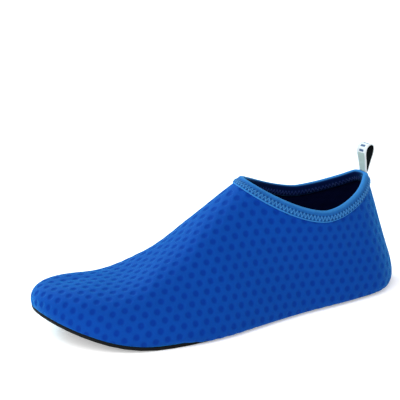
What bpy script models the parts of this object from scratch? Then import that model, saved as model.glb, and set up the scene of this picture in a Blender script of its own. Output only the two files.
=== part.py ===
"""Left water shoe: a stretch upper on a thin moulded rubber sole, with a bound collar and a pull loop.

Metres. +X points to the toe, +Y to the outer (little toe) side, +Z up. Sole and last are worked out from
the heel end of the sole; an empty then moves everything so that the middle of the bounding box's floor
lies at the origin.
"""
from collections import namedtuple
from math import cos, hypot, pi, radians, sin

import bmesh
import bpy
import numpy as np
from mathutils import Vector
from mathutils.bvhtree import BVHTree
from mathutils.geometry import delaunay_2d_cdt

# Driving sizes of sole and last
SOLE_LENGTH = 0.2507
BALL_WIDTH = 0.0908
HEEL_ROUND = SOLE_LENGTH * 0.12764
TOE_ROUND = SOLE_LENGTH * 0.2473
TOE_SPRING = 0.0170
ARCH_RISE = 0.0035
THROAT_HEIGHT = 0.0856
THROAT_AT = 0.105
THROAT_FOOT = 0.1295
HEEL_HEIGHT = 0.0765
HEEL_LEAN = 0.0165
DIP_OUTER = 0.0632
DIP_INNER = 0.0664
DIP_AT = 0.055
TOE_SET_BACK = 0.035
SWELL = 0.0056
HANG = 0.0039
HANG_AT = 0.035
HANG_END = (0.60, 0.72)

# Fabric, foam and tape
UPPER_WALL = 0.0016
FLANGE = 0.0090
CLEARANCE = 0.0003
INSOLE_THICKNESS = 0.0030
INSOLE_INSET = 0.0024
BINDING_WIDTH = 0.0062
BINDING_TAPE = 0.0009
LOOP_WIDTH = 0.0090
LOOP_RIBBON = 0.0009
LOOP_HEIGHT = 0.0215
LOOP_SPREAD = 0.0078
LOOP_LEAN = 0.10

# Moulded rubber
SOLE_THICKNESS = 0.0026
SOLE_EDGE_ROUND = 0.0008
GROOVE_DEPTH = 0.0014
GROOVE_WIDTH = 0.0016
CELL_LENGTH = 0.0126
CELL_ROW = 0.0090
CELL_TILT = radians(10.5)
EDGE_MARGIN = 0.0048
MOAT = 0.0014
RIM_WIDTH = 0.0022
RING_RECESS = 0.0006
DOME_SINK = 0.0009
RIB_WIDTH = 0.0018
RIB_BED_WIDTH = 0.0038
RIB_BED_DEPTH = 0.0005

# How finely the round shapes are divided
REAR_STATIONS = 20
FRONT_STATIONS = 16
LEVEL_SHARES = (0, 0.02, 0.05, 0.10, 0.18, 0.29, 0.42, 0.56, 0.70, 0.85, 1)
LEVELS = len(LEVEL_SHARES) - 1
RING_SIDES = 20
LOOP_STEPS = 9

# Sole outline, heel to toe: place along the sole, middle line and half width as shares of the ball width,
# rise of the toe as a share of the toe spring, cupping of the arch as a share of its rise, and how far the
# honeycomb stays off the inner edge, counted in edge margins
Outline = namedtuple("Outline", "along centre half spring arch inner_margin")
OUTLINE = [
    Outline(0.00, -0.060, 0.325, 0.03, 0.00, 1.0),
    Outline(0.06, -0.010, 0.326, 0.00, 0.00, 1.0),
    Outline(0.12, 0.000, 0.338, 0.00, 0.00, 1.0),
    Outline(0.17, 0.018, 0.356, 0.00, 0.10, 1.2),
    Outline(0.24, 0.058, 0.355, 0.00, 0.45, 2.0),
    Outline(0.32, 0.112, 0.346, 0.00, 0.85, 3.3),
    Outline(0.40, 0.170, 0.352, 0.00, 1.00, 3.2),
    Outline(0.48, 0.229, 0.366, 0.00, 0.85, 2.6),
    Outline(0.54, 0.255, 0.395, 0.00, 0.45, 1.8),
    Outline(0.60, 0.258, 0.432, 0.00, 0.10, 1.3),
    Outline(0.68, 0.240, 0.480, 0.00, 0.00, 1.0),
    Outline(0.76, 0.214, 0.500, 0.03, 0.00, 1.0),
    Outline(0.84, 0.183, 0.500, 0.21, 0.00, 1.0),
    Outline(0.92, 0.120, 0.500, 0.55, 0.00, 1.0),
    Outline(1.00, 0.037, 0.500, 1.00, 0.00, 1.0),
]

# Top line of the closed last, back to front: place (0 heel, 1 throat, 2 toe end), height as a share of the
# throat height, middle as a share of the ball width. The first two rows lie above the opening and only
# lead the walls that the collar cuts.
Ridge = namedtuple("Ridge", "place height middle")
RIDGE = [
    Ridge(0.30, 1.195, -0.008),
    Ridge(0.62, 1.200, 0.010),
    Ridge(1.00, 1.000, 0.030),
    Ridge(1.27, 0.805, 0.100),
    Ridge(1.52, 0.600, 0.160),
    Ridge(1.77, 0.442, 0.115),
    Ridge(2.00, 0.402, 0.055),
]

# Walls from the sole edge to the top line: lean at the foot in radians, pull of the lower and the upper end
# as shares of the span, swell over the sole edge on both sides as shares of SWELL, and where it is widest
Wall = namedtuple("Wall", "along lean low_pull high_pull swell_outer swell_inner swell_at")
WALLS = [
    Wall(0.00, -0.05, 0.387, 0.160, 0.92, 0.92, 0.078),
    Wall(0.28, -0.08, 0.300, 0.365, 0.97, 0.62, 0.078),
    Wall(0.52, -0.08, 0.300, 0.365, 0.97, 0.62, 0.078),
    Wall(0.95, 0.00, 0.470, 0.455, 0.12, 0.12, 0.120),
    Wall(1.00, 0.00, 0.470, 0.455, 0.10, 0.10, 0.120),
]

# Round pads of the sole: place along it, place across it and radius as shares of the ball width
Pad = namedtuple("Pad", "kind along across radius")
PADS = [
    Pad("ring", 0.7475, 0.028, 0.186),
    Pad("ring", 0.6500, 0.465, 0.130),
    Pad("dome", 0.6000, 0.096, 0.128),
    Pad("ring", 0.4954, 0.173, 0.073),
    Pad("dome", 0.3949, 0.153, 0.073),
    Pad("dome", 0.3040, 0.093, 0.072),
    Pad("dome", 0.2270, -0.051, 0.074),
    Pad("ring", 0.2178, 0.238, 0.090),
    Pad("disc", 0.1180, 0.000, 0.168),
    Pad("dot", 0.8097, 0.620, 0.026),
    Pad("dot", 0.8500, 0.396, 0.028),
    Pad("dot", 0.8825, 0.230, 0.028),
    Pad("dot", 0.9210, -0.011, 0.028),
    Pad("dot", 0.9394, 0.292, 0.026),
    Pad("dot", 0.8865, 0.495, 0.020),
]
CELL_ORIGIN = (0.5305, 0.3634)

# Flex rib over the toe joints, outer to inner end: place along the sole, place across it in ball widths
Spot = namedtuple("Spot", "along across")
RIB = [Spot(0.741, 0.665), Spot(0.794, 0.485), Spot(0.842, 0.281), Spot(0.878, 0.077), Spot(0.911, -0.165)]

# Toe lobes, each in a U-shaped groove that runs out to the sole edge: middle of the round end, half width
# in ball widths, and the way to the edge in degrees
Lobe = namedtuple("Lobe", "along across half turn")
LOBES = [
    Lobe(0.8535, 0.510, 0.044, 24),
    Lobe(0.8880, 0.363, 0.040, 8),
    Lobe(0.9180, 0.186, 0.040, 0),
    Lobe(0.9560, -0.020, 0.086, -14),
]

SIDES = (1, -1)
OUTER_SIDE = 1
TOE_END = SOLE_LENGTH - TOE_SET_BACK
UPPER_FLOOR = SOLE_THICKNESS + CLEARANCE
INSOLE_STEP = UPPER_FLOOR + UPPER_WALL * 1.06 + CLEARANCE


def table_values(table, name):
    return np.array([getattr(row, name) for row in table], float)


def row_and_share(xs, x):
    x = np.clip(x, xs[0], xs[-1])
    row = np.clip(np.searchsorted(xs, x, side="right") - 1, 0, len(xs) - 2)
    return row, (x - xs[row]) / (xs[row + 1] - xs[row])


def smooth(xs, ys, x):
    """Cubic curve through the rows of a table."""
    xs = np.asarray(xs, float)
    ys = np.asarray(ys, float)
    slopes = np.gradient(ys, xs)
    row, t = row_and_share(xs, x)
    step = xs[row + 1] - xs[row]
    value = (2 * t**3 - 3 * t**2 + 1) * ys[row] + (3 * t**2 - 2 * t**3) * ys[row + 1]
    return value + ((t**3 - 2 * t**2 + t) * slopes[row] + (t**3 - t**2) * slopes[row + 1]) * step


def outline_value(name, x):
    return smooth(table_values(OUTLINE, "along"), table_values(OUTLINE, name), np.asarray(x) / SOLE_LENGTH)


def half_width(x):
    """Half the sole's width, with round ends at heel and toe."""
    x = np.clip(x, 0, SOLE_LENGTH)
    heel = np.sqrt(1 - (1 - np.minimum(x / HEEL_ROUND, 1)) ** 2)
    toe = np.sqrt(1 - (1 - np.minimum((SOLE_LENGTH - x) / TOE_ROUND, 1)) ** 2)
    return outline_value("half", x) * BALL_WIDTH * heel * toe


def middle(x):
    return outline_value("centre", x) * BALL_WIDTH


def lift(x, y):
    """Rise of the whole sole over the floor: the toe spring, and the arch cupped towards its inner edge."""
    x = np.clip(x, 0, SOLE_LENGTH)
    inward = np.clip((middle(x) - y) / np.maximum(half_width(x), HEEL_ROUND / 4), 0, 1.1)
    spring = np.maximum(outline_value("spring", x), 0) * TOE_SPRING
    return spring + np.maximum(outline_value("arch", x), 0) * ARCH_RISE * inward**3


def on_sole(x, y, margin):
    """Whether a plan point lies inside the sole outline with a margin all round."""
    for dx, dy in ((margin, 0), (-margin, 0), (0, margin), (0, -margin)):
        if not 0 < x + dx < SOLE_LENGTH or abs(y + dy - middle(x + dx)) > half_width(x + dx):
            return False
    return True


def station_x(u):
    """Place along the sole of a station: 0 at the heel end, 1 at the toe end."""
    return SOLE_LENGTH * (1 - np.cos(pi * np.asarray(u))) / 2


THROAT_STATION = np.arccos(1 - 2 * THROAT_FOOT / SOLE_LENGTH) / pi
REAR_U = np.linspace(0, THROAT_STATION, REAR_STATIONS + 1)
FRONT_U = np.linspace(THROAT_STATION, 1, FRONT_STATIONS + 1)[1:]
STATIONS = np.concatenate([REAR_U, FRONT_U])


def edge_plan(u, side):
    x = station_x(u)
    return x, middle(x) + side * half_width(x)


def edge_normal(u, side):
    """Way out of the sole outline in plan."""
    step = 1e-4
    xa, ya = edge_plan(np.clip(u - step, 0, 1), side)
    xb, yb = edge_plan(np.clip(u + step, 0, 1), side)
    out = np.stack([-side * (yb - ya), side * (xb - xa), 0 * xa], -1)
    return out / np.linalg.norm(out, axis=-1, keepdims=True)


def edge_point(u, side, inset, height):
    """Point by the sole edge, inset in plan, at a height over the sole's underside."""
    x, y = edge_plan(u, side)
    out = edge_normal(u, side)
    x = x - out[..., 0] * inset
    y = y - out[..., 1] * inset
    return np.stack([x, y, height + lift(x, y)], -1)


def ridge_point(place):
    places = table_values(RIDGE, "place")
    x = np.where(place < 1, THROAT_AT * place, THROAT_AT + (TOE_END - THROAT_AT) * (place - 1))
    y = smooth(places, table_values(RIDGE, "middle"), place) * BALL_WIDTH
    z = smooth(places, table_values(RIDGE, "height"), place) * THROAT_HEIGHT
    return np.stack([x, y, z], -1)


def ridge_place(x):
    """Place on the top line that a station of the sole edge leads to; the throat stands over its foot."""
    first = RIDGE[0].place
    feet = [0, THROAT_FOOT / 2, THROAT_FOOT, (THROAT_FOOT + SOLE_LENGTH) / 2, SOLE_LENGTH]
    return smooth(feet, [first, first + (1 - first) * 0.46, 1, 1.5, 2], x)


def wall_value(name, x):
    """A column of WALLS, eased from row to row."""
    along = table_values(WALLS, "along")
    values = table_values(WALLS, name)
    row, t = row_and_share(along, x / SOLE_LENGTH)
    return values[row] + (values[row + 1] - values[row]) * t * t * (3 - 2 * t)


def hang_share(x):
    """How much of the hang over the sole's edge the wall has: all of it behind the ball, none at the toes."""
    t = np.clip((x / SOLE_LENGTH - HANG_END[0]) / (HANG_END[1] - HANG_END[0]), 0, 1)
    return 1 - t * t * (3 - 2 * t)


def last_surface(u, v, side):
    """Outside of the closed last: u runs along the sole edge, v from the sole edge up to the top line."""
    u, v = np.broadcast_arrays(np.asarray(u, float), np.asarray(v, float))
    x = station_x(u)
    start = edge_point(u, side, 0, UPPER_FLOOR)
    out = edge_normal(u, side)
    place = ridge_place(x)
    end = ridge_point(place)
    step = 1e-3
    run = ridge_point(np.clip(place + step, 0, 2)) - ridge_point(np.clip(place - step, RIDGE[0].place, 2))
    span = end - start
    reach = np.linalg.norm(span, axis=-1)[..., None]
    arrive = span * [1, 1, 0]
    arrive /= np.linalg.norm(arrive, axis=-1, keepdims=True)
    arrive[..., 2] = arrive[..., 0] * run[..., 2] / run[..., 0]
    arrive /= np.linalg.norm(arrive, axis=-1, keepdims=True)
    lean = wall_value("lean", x)[..., None]
    leave = out * np.sin(lean) + np.array([0, 0, 1]) * np.cos(lean)
    low = start + leave * reach * wall_value("low_pull", x)[..., None]
    high = end - arrive * reach * wall_value("high_pull", x)[..., None]
    w = v[..., None]
    wall = (1 - w) ** 3 * start + 3 * (1 - w) ** 2 * w * low + 3 * (1 - w) * w**2 * high + w**3 * end
    swell = SWELL * wall_value("swell_outer" if side == OUTER_SIDE else "swell_inner", x)
    rise = v / wall_value("swell_at", x)
    wall = wall + out * (swell * rise * np.exp(1 - rise))[..., None]
    sink = v / HANG_AT
    wall[..., 2] -= HANG * hang_share(x) * sink * np.exp(1 - sink)
    return wall


def collar_height(x, side):
    """Height of the cut seen from the side: down from the heel to the ankle, up again to the throat."""
    dip = DIP_OUTER if side == OUTER_SIDE else DIP_INNER
    fall = np.clip((x - HEEL_LEAN) / (DIP_AT - HEEL_LEAN), 0, 1)
    rise = np.clip((x - DIP_AT) / (THROAT_AT - DIP_AT), 0, 1)
    rear = dip + (HEEL_HEIGHT - dip) * (1 - fall) ** 2
    front = dip + (THROAT_HEIGHT - dip) * rise**1.5
    return np.where(x < DIP_AT, rear, front) + np.maximum(x - THROAT_AT, 0)


def collar_cut(side, samples=90, tries=60):
    """Stations and shares of the wall where the collar cuts it, evenly spaced along the cut."""
    u = THROAT_STATION * (1 - (1 - np.linspace(0, 1, samples)) ** 2)
    v = np.linspace(0.3, 1, tries)
    wall = last_surface(u[:, None], v[None, :], side)
    over = wall[..., 2] - collar_height(wall[..., 0], side)
    first = np.clip((over > 0).argmax(1), 1, None)
    rows = np.arange(samples)
    low, high = over[rows, first - 1], over[rows, first]
    share = np.clip(-low / (high - low + 1e-12), 0, 1)
    cut = np.where((over > 0).any(1), v[first - 1] + (v[1] - v[0]) * share, 1)
    cut[-1] = 1
    steps = np.linalg.norm(np.diff(last_surface(u, cut, side), axis=0), axis=1)
    run = np.concatenate([[0], np.cumsum(steps)])
    even = np.linspace(0, run[-1], REAR_STATIONS + 1)
    return np.interp(even, run, u), np.interp(even, run, cut)


def upper_wall_points(side):
    """One side of the upper as stations by levels: under the collar from heel to throat, then to the toe."""
    levels = np.array(LEVEL_SHARES)
    top_u, top_v = collar_cut(side)
    rear_u = REAR_U[:, None] + (top_u - REAR_U)[:, None] * levels**1.3
    rear_v = top_v[:, None] * levels
    u = np.vstack([rear_u, np.repeat(FRONT_U[:, None], LEVELS + 1, 1)])
    v = np.vstack([rear_v, np.repeat(levels[None], FRONT_STATIONS, 0)])
    return last_surface(u, v, side)


def new_object(name, bm, material, parent):
    bm.normal_update()
    mesh = bpy.data.meshes.new(name)
    bm.to_mesh(mesh)
    bm.free()
    mesh.materials.append(material)
    mesh.shade_smooth()
    mesh.set_sharp_from_angle(angle=radians(40))
    obj = bpy.data.objects.new(name, mesh)
    bpy.context.scene.collection.objects.link(obj)
    obj.parent = parent
    return obj


def principled(name, colour, roughness):
    material = bpy.data.materials.new(name)
    material.use_nodes = True
    shader = material.node_tree.nodes["Principled BSDF"]
    shader.inputs["Base Color"].default_value = (*colour, 1)
    shader.inputs["Roughness"].default_value = roughness
    return material


def face_between(bm, corners):
    """A face over the corners, each used once."""
    distinct = list(dict.fromkeys(corners))
    if len(distinct) > 2:
        bm.faces.new(distinct)


def loft(bm, rings):
    """Faces between neighbouring closed rings of as many vertices."""
    for lower, upper in zip(rings[:-1], rings[1:]):
        for i in range(len(lower)):
            j = (i + 1) % len(lower)
            face_between(bm, (lower[i], lower[j], upper[j], upper[i]))


def round_trip(outer, inner):
    """A closed ring: heel to toe on the outer side, back to the heel on the inner side."""
    return list(outer) + list(inner[-2:0:-1])


def close_across(bm, ring):
    """Closes a ring of stations with a face across the sole between each two stations."""
    half = len(ring) // 2
    outer = ring[: half + 1]
    inner = [ring[0]] + ring[:half - 1:-1]
    for i in range(half):
        face_between(bm, (outer[i], outer[i + 1], inner[i + 1], inner[i]))


def edge_ring(bm, inset, height):
    outer, inner = (edge_point(STATIONS, side, inset, height) for side in SIDES)
    return [bm.verts.new(p) for p in round_trip(outer, inner)]


def build_upper(material, parent):
    """One hollow wall: flange on the sole, sides, vamp and toe, open at the collar and underneath."""
    bm = bmesh.new()
    outer, inner = (upper_wall_points(side) for side in SIDES)
    rings = [edge_ring(bm, FLANGE, UPPER_FLOOR), edge_ring(bm, INSOLE_INSET, UPPER_FLOOR)]
    rings += [[bm.verts.new(p) for p in round_trip(outer[:, i], inner[:, i])] for i in range(LEVELS)]
    top_outer = [bm.verts.new(p) for p in outer[:, LEVELS]]
    top_inner = [top_outer[0]] + [bm.verts.new(p) for p in inner[1:REAR_STATIONS, LEVELS]]
    top_inner += top_outer[REAR_STATIONS:]
    rings.append(round_trip(top_outer, top_inner))
    loft(bm, rings)
    bmesh.ops.recalc_face_normals(bm, faces=bm.faces)
    if rings[-2][0].normal.x > 0:
        bmesh.ops.reverse_faces(bm, faces=bm.faces)
    bm.normal_update()
    collar = round_trip(top_outer[: REAR_STATIONS + 1], top_inner[: REAR_STATIONS + 1])
    collar = [(v.co.copy(), v.normal.copy()) for v in collar]
    obj = new_object("upper", bm, material, parent)
    wall = obj.modifiers.new("wall", "SOLIDIFY")
    wall.thickness = UPPER_WALL
    wall.offset = -1
    return obj, collar


def surface_tree(obj):
    """Search tree of an object's finished surface."""
    graph = bpy.context.evaluated_depsgraph_get()
    bm = bmesh.new()
    bm.from_mesh(obj.evaluated_get(graph).to_mesh())
    tree = BVHTree.FromBMesh(bm)
    bm.free()
    return tree


def collar_frames(collar):
    """Collar points with the way out of the wall and the way down it, square to the edge."""
    frames = []
    for i, (edge, normal) in enumerate(collar):
        along = (collar[(i + 1) % len(collar)][0] - collar[i - 1][0]).normalized()
        out = (normal - along * normal.dot(along)).normalized()
        frames.append((edge, out, out.cross(along)))
    return frames


def tape_leaf(tree, frames, side):
    """Rows of points down one side of the wall from the collar edge, and their ways off the wall."""
    spots, ways = [], []
    for edge, out, down in frames:
        start = edge - out * (0 if side == OUTER_SIDE else UPPER_WALL)
        column, turns = [start], [out * side]
        for depth in (BINDING_WIDTH / 2, BINDING_WIDTH):
            spot, normal = tree.find_nearest(start + down * depth + out * side * UPPER_WALL)[:2]
            column.append(spot)
            turns.append((normal + out * side).normalized())
        spots.append(column)
        ways.append(turns)
    heights = np.full((len(frames), 3), CLEARANCE)
    for _ in range(4):
        raised = heights.copy()
        points = [[p + w * h for p, w, h in zip(*rows)] for rows in zip(spots, ways, heights)]
        for i, row, s, t in np.ndindex(len(frames), 2, 4, 4):
            j = (i + 1) % len(frames)
            high = points[i][row].lerp(points[j][row], s / 4)
            low = points[i][row + 1].lerp(points[j][row + 1], s / 4)
            p = high.lerp(low, t / 4)
            spot, normal = tree.find_nearest(p)[:2]
            short = CLEARANCE * 0.9 - (p - spot).dot(normal)
            if short > 0:
                for station, level in ((i, row), (j, row), (i, row + 1), (j, row + 1)):
                    raised[station, level] = max(raised[station, level], heights[station, level] + short)
        heights = raised
    return [[p + w * h for p, w, h in zip(*rows)] for rows in zip(spots, ways, heights)], ways


def build_binding(material, parent, upper, collar):
    """Tape folded over the collar edge: a channel that follows the wall outside and inside."""
    tree = surface_tree(upper)
    frames = collar_frames(collar)
    outside, outward = tape_leaf(tree, frames, OUTER_SIDE)
    inside, inward = tape_leaf(tree, frames, -OUTER_SIDE)
    far = CLEARANCE + BINDING_TAPE
    half = UPPER_WALL / 2
    bm = bmesh.new()
    rings = []
    for i, (edge, out, down) in enumerate(frames):
        crest = edge - out * half - down * far
        profile = [outside[i][row] + outward[i][row] * BINDING_TAPE for row in (2, 1, 0)]
        profile += [crest + out * (half + far / 2), crest - out * (half + far / 2)]
        profile += [inside[i][row] + inward[i][row] * BINDING_TAPE for row in (0, 1, 2)]
        profile += [inside[i][2], inside[i][1], inside[i][0] - down * CLEARANCE]
        profile += [outside[i][0] - down * CLEARANCE, outside[i][1], outside[i][2]]
        rings.append([bm.verts.new(p) for p in profile])
    loft(bm, rings + [rings[0]])
    bmesh.ops.recalc_face_normals(bm, faces=bm.faces)
    return new_object("collar_binding", bm, material, parent)


def build_insole(material, parent):
    """Foam liner: its middle reaches the sole through the upper's open bottom, its rim lies on the flange."""
    bm = bmesh.new()
    opening = FLANGE + CLEARANCE
    tilted = opening + UPPER_WALL * TOE_SPRING / HEEL_ROUND
    top = INSOLE_STEP + INSOLE_THICKNESS
    bottom = edge_ring(bm, opening, UPPER_FLOOR)
    rings = [bottom, edge_ring(bm, tilted, INSOLE_STEP), edge_ring(bm, INSOLE_INSET, INSOLE_STEP)]
    rings += [edge_ring(bm, INSOLE_INSET, top - INSOLE_THICKNESS / 4)]
    rings += [edge_ring(bm, INSOLE_INSET + INSOLE_THICKNESS / 4, top), edge_ring(bm, opening, top)]
    loft(bm, rings)
    close_across(bm, bottom)
    close_across(bm, rings[-1])
    bmesh.ops.recalc_face_normals(bm, faces=bm.faces)
    return new_object("insole", bm, material, parent)


def loop_outline(inset):
    """Teardrop of the ribbon seen from the side, root first, drawn in by an inset."""
    radius = LOOP_SPREAD / 2 - inset
    top = LOOP_HEIGHT - LOOP_SPREAD / 2
    root = max(LOOP_RIBBON - inset, CLEARANCE / 2)
    foot, neck, shoulder = (0.14, 0.30, 0.46) if inset else (0, 0.24, 0.44)
    right = [(root, foot * LOOP_HEIGHT), ((root + radius) / 2, neck * LOOP_HEIGHT)]
    right.append((radius, shoulder * LOOP_HEIGHT))
    arc = [(radius * cos(a), top + radius * sin(a)) for a in np.linspace(0, pi, LOOP_STEPS)]
    return right + arc + [(-x, z) for x, z in reversed(right)]


def build_loop(material, parent, binding, heel):
    """Ribbon folded to a standing loop over the heel, its root on the crest of the binding."""
    bm = bmesh.new()
    rings = []
    crest = max(v.co.z for v in binding.data.vertices if (v.co - heel).length < LOOP_WIDTH * 0.75)
    for inset, side in ((0, 1), (LOOP_RIBBON, 1), (LOOP_RIBBON, -1), (0, -1)):
        points = loop_outline(inset)
        base = Vector((heel.x + UPPER_WALL / 2, heel.y + side * LOOP_WIDTH / 2, crest + CLEARANCE))
        rings.append([bm.verts.new(base + Vector((x - z * LOOP_LEAN, 0, z))) for x, z in points])
    loft(bm, rings + [rings[0]])
    bmesh.ops.recalc_face_normals(bm, faces=bm.faces)
    return new_object("pull_loop", bm, material, parent)


def circle(x, y, radius, sides):
    return [(x + radius * cos(2 * pi * i / sides), y + radius * sin(2 * pi * i / sides)) for i in range(sides)]


def pad_place(pad):
    return pad.along * SOLE_LENGTH, pad.across * BALL_WIDTH, pad.radius * BALL_WIDTH


def pad_sides(pad):
    return RING_SIDES if pad.radius > 0.1 else RING_SIDES * 2 // 3 if pad.radius > 0.05 else RING_SIDES // 2


def rib_x(y):
    """Place along the sole of the flex rib."""
    return smooth([-spot.across for spot in RIB], [spot.along for spot in RIB], -y / BALL_WIDTH) * SOLE_LENGTH


def in_honeycomb(point):
    """Whether a groove may start here: clear of the edges, of the smooth arch and of the flex rib."""
    x, y = point
    if not on_sole(x, y, EDGE_MARGIN) or x > rib_x(y) - 2 * RIB_BED_WIDTH:
        return False
    return y > middle(x) - half_width(x) + EDGE_MARGIN * outline_value("inner_margin", x)


def holding_pad(point):
    """Pad whose moat takes up this point, if any."""
    for pad in PADS:
        x, y, radius = pad_place(pad)
        if hypot(point[0] - x, point[1] - y) < radius + MOAT:
            return pad
    return None


def drawn_in(junction, cell):
    """A cell's own corner at a junction of grooves."""
    way = cell - junction
    return junction + way / hypot(*way) * GROOVE_WIDTH / 2 / cos(radians(30))


def to_moat(point, pad):
    x, y, radius = pad_place(pad)
    dx, dy = point[0] - x, point[1] - y
    scale = (radius + MOAT / 2) / hypot(dx, dy)
    return np.array([x + dx * scale, y + dy * scale])


def groove_strip(start, end, one, other):
    """Groove between two cells from junction to junction, a short tick where it meets the smooth border."""
    inside = [in_honeycomb(start), in_honeycomb(end)]
    pads = [holding_pad(start), holding_pad(end)]
    if not any(inside) or all(pads):
        return None
    corners = [[drawn_in(start, one), drawn_in(start, other)], [drawn_in(end, one), drawn_in(end, other)]]
    for here, there in ((0, 1), (1, 0)):
        if pads[here]:
            if not inside[there]:
                return None
            corners[here] = [to_moat(p, pads[here]) for p in corners[here]]
        elif not inside[here]:
            if pads[there]:
                return None
            corners[here] = [(p + q) / 2 for p, q in zip(*corners)]
    return [corners[0][0], corners[1][0], corners[1][1], corners[0][1]]


def honeycomb_grooves():
    """Strips and three-cornered junctions of the grooves between the cells."""
    row = np.array([cos(CELL_TILT), sin(CELL_TILT)]) * CELL_LENGTH
    up = row / 2 + np.array([-sin(CELL_TILT), cos(CELL_TILT)]) * CELL_ROW
    first = np.array([CELL_ORIGIN[0] * SOLE_LENGTH, CELL_ORIGIN[1] * BALL_WIDTH])
    reach = int(SOLE_LENGTH / CELL_ROW)
    grooves = []
    for i in range(-reach, reach):
        for j in range(-reach, reach):
            cell = first + row * i + up * j
            if not 0 < cell[0] < SOLE_LENGTH or abs(cell[1]) > BALL_WIDTH:
                continue
            beside, above, before = cell + row, cell + up, cell + up - row
            right = (cell + beside + above) / 3
            left = (cell + above + before) / 3
            for junction, around in ((right, (cell, beside, above)), (left, (cell, above, before))):
                if in_honeycomb(junction) and not holding_pad(junction):
                    grooves.append([drawn_in(junction, q) for q in around])
            ends = ((left, cell, above), (left + row - up, cell, beside), (left + row, beside, above))
            strips = (groove_strip(right, end, one, other) for end, one, other in ends)
            grooves += [strip for strip in strips if strip]
    return grooves


def band_along(points, width):
    """Outline of a band of one width along a run of points."""
    points = [np.array(p, float) for p in points]
    left, right = [], []
    for i, p in enumerate(points):
        way = points[min(i + 1, len(points) - 1)] - points[max(i - 1, 0)]
        side = np.array([-way[1], way[0]]) / hypot(*way) * width / 2
        left.append(p + side)
        right.append(p - side)
    return left + right[::-1]


def lobe_groove(lobe):
    """U-shaped groove: out from the sole edge, round the lobe's end and back to the edge."""
    x, y, half = lobe.along * SOLE_LENGTH, lobe.across * BALL_WIDTH, lobe.half * BALL_WIDTH
    ahead = np.array([cos(radians(lobe.turn)), sin(radians(lobe.turn))])
    left = np.array([-ahead[1], ahead[0]])
    centre = np.array([x, y])
    margin = SOLE_EDGE_ROUND + GROOVE_WIDTH
    arms = []
    for side in (1, -1):
        arm = []
        step = GROOVE_WIDTH
        while len(arm) < 40:
            p = centre + left * side * half + ahead * step * (len(arm) + 1)
            if not on_sole(*p, margin):
                break
            arm.append(p)
        arms.append(arm[-1:])
    bend = [centre + (left * cos(a) - ahead * sin(a)) * half for a in np.linspace(0, pi, 7)]
    return band_along(arms[0] + bend + arms[1], GROOVE_WIDTH * 0.8)


def rib_band(width, margin):
    """Outline of a band along the flex rib, kept off the sole edge by a margin."""
    ys = np.linspace(RIB[0].across, RIB[-1].across, 15) * BALL_WIDTH
    points = [(rib_x(y), y) for y in ys]
    return band_along([p for p in points if on_sole(*p, margin)], width)


def tread_plan():
    """Closed outlines on the sole's underside as (kind, points), the sole's own outline first."""
    outer, inner = (edge_point(STATIONS, side, SOLE_EDGE_ROUND, 0) for side in SIDES)
    plan = [("sole", [p[:2] for p in round_trip(outer, inner)])]
    plan += [("groove", points) for points in honeycomb_grooves()]
    plan += [("groove", lobe_groove(lobe)) for lobe in LOBES]
    plan.append(("rib bed", rib_band(RIB_BED_WIDTH, RIB_BED_WIDTH)))
    plan.append(("rib", rib_band(RIB_WIDTH, RIB_BED_WIDTH * 2)))
    for pad in PADS:
        x, y, radius = pad_place(pad)
        sides = pad_sides(pad)
        plan.append(("moat", circle(x, y, radius + MOAT, sides)))
        plan.append((pad.kind, circle(x, y, radius, sides)))
        if pad.kind in ("ring", "disc"):
            plan.append((pad.kind + " floor", circle(x, y, radius - RIM_WIDTH, sides)))
        if pad.kind == "disc":
            plan.append(("disc face", circle(x, y, radius - RIM_WIDTH * 1.4, sides)))
        if pad.kind == "dome":
            plan.append(("dome", circle(x, y, radius * 0.62, sides)))
            plan.append(("dome", circle(x, y, radius * 0.25, 6)))
    return plan


def lies_in(spots, outline):
    """Whether each plan point lies inside a closed outline."""
    ends = np.roll(outline, -1, 0)
    inside = np.zeros(len(spots), bool)
    for (xa, ya), (xb, yb) in zip(outline, ends):
        if ya != yb:
            crossing = xa + (spots[:, 1] - ya) * (xb - xa) / (yb - ya)
            inside ^= ((spots[:, 1] > ya) != (spots[:, 1] > yb)) & (spots[:, 0] < crossing)
    return inside


def face_kind(kinds):
    """What a face is, from all the outlines that it lies in."""
    for kind in ("disc face", "disc floor", "ring floor", "disc", "ring", "dome", "dot"):
        if kind in kinds:
            return kind
    if "moat" in kinds or "groove" in kinds:
        return "groove"
    return "rib bed" if "rib bed" in kinds and "rib" not in kinds else "sole"


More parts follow.
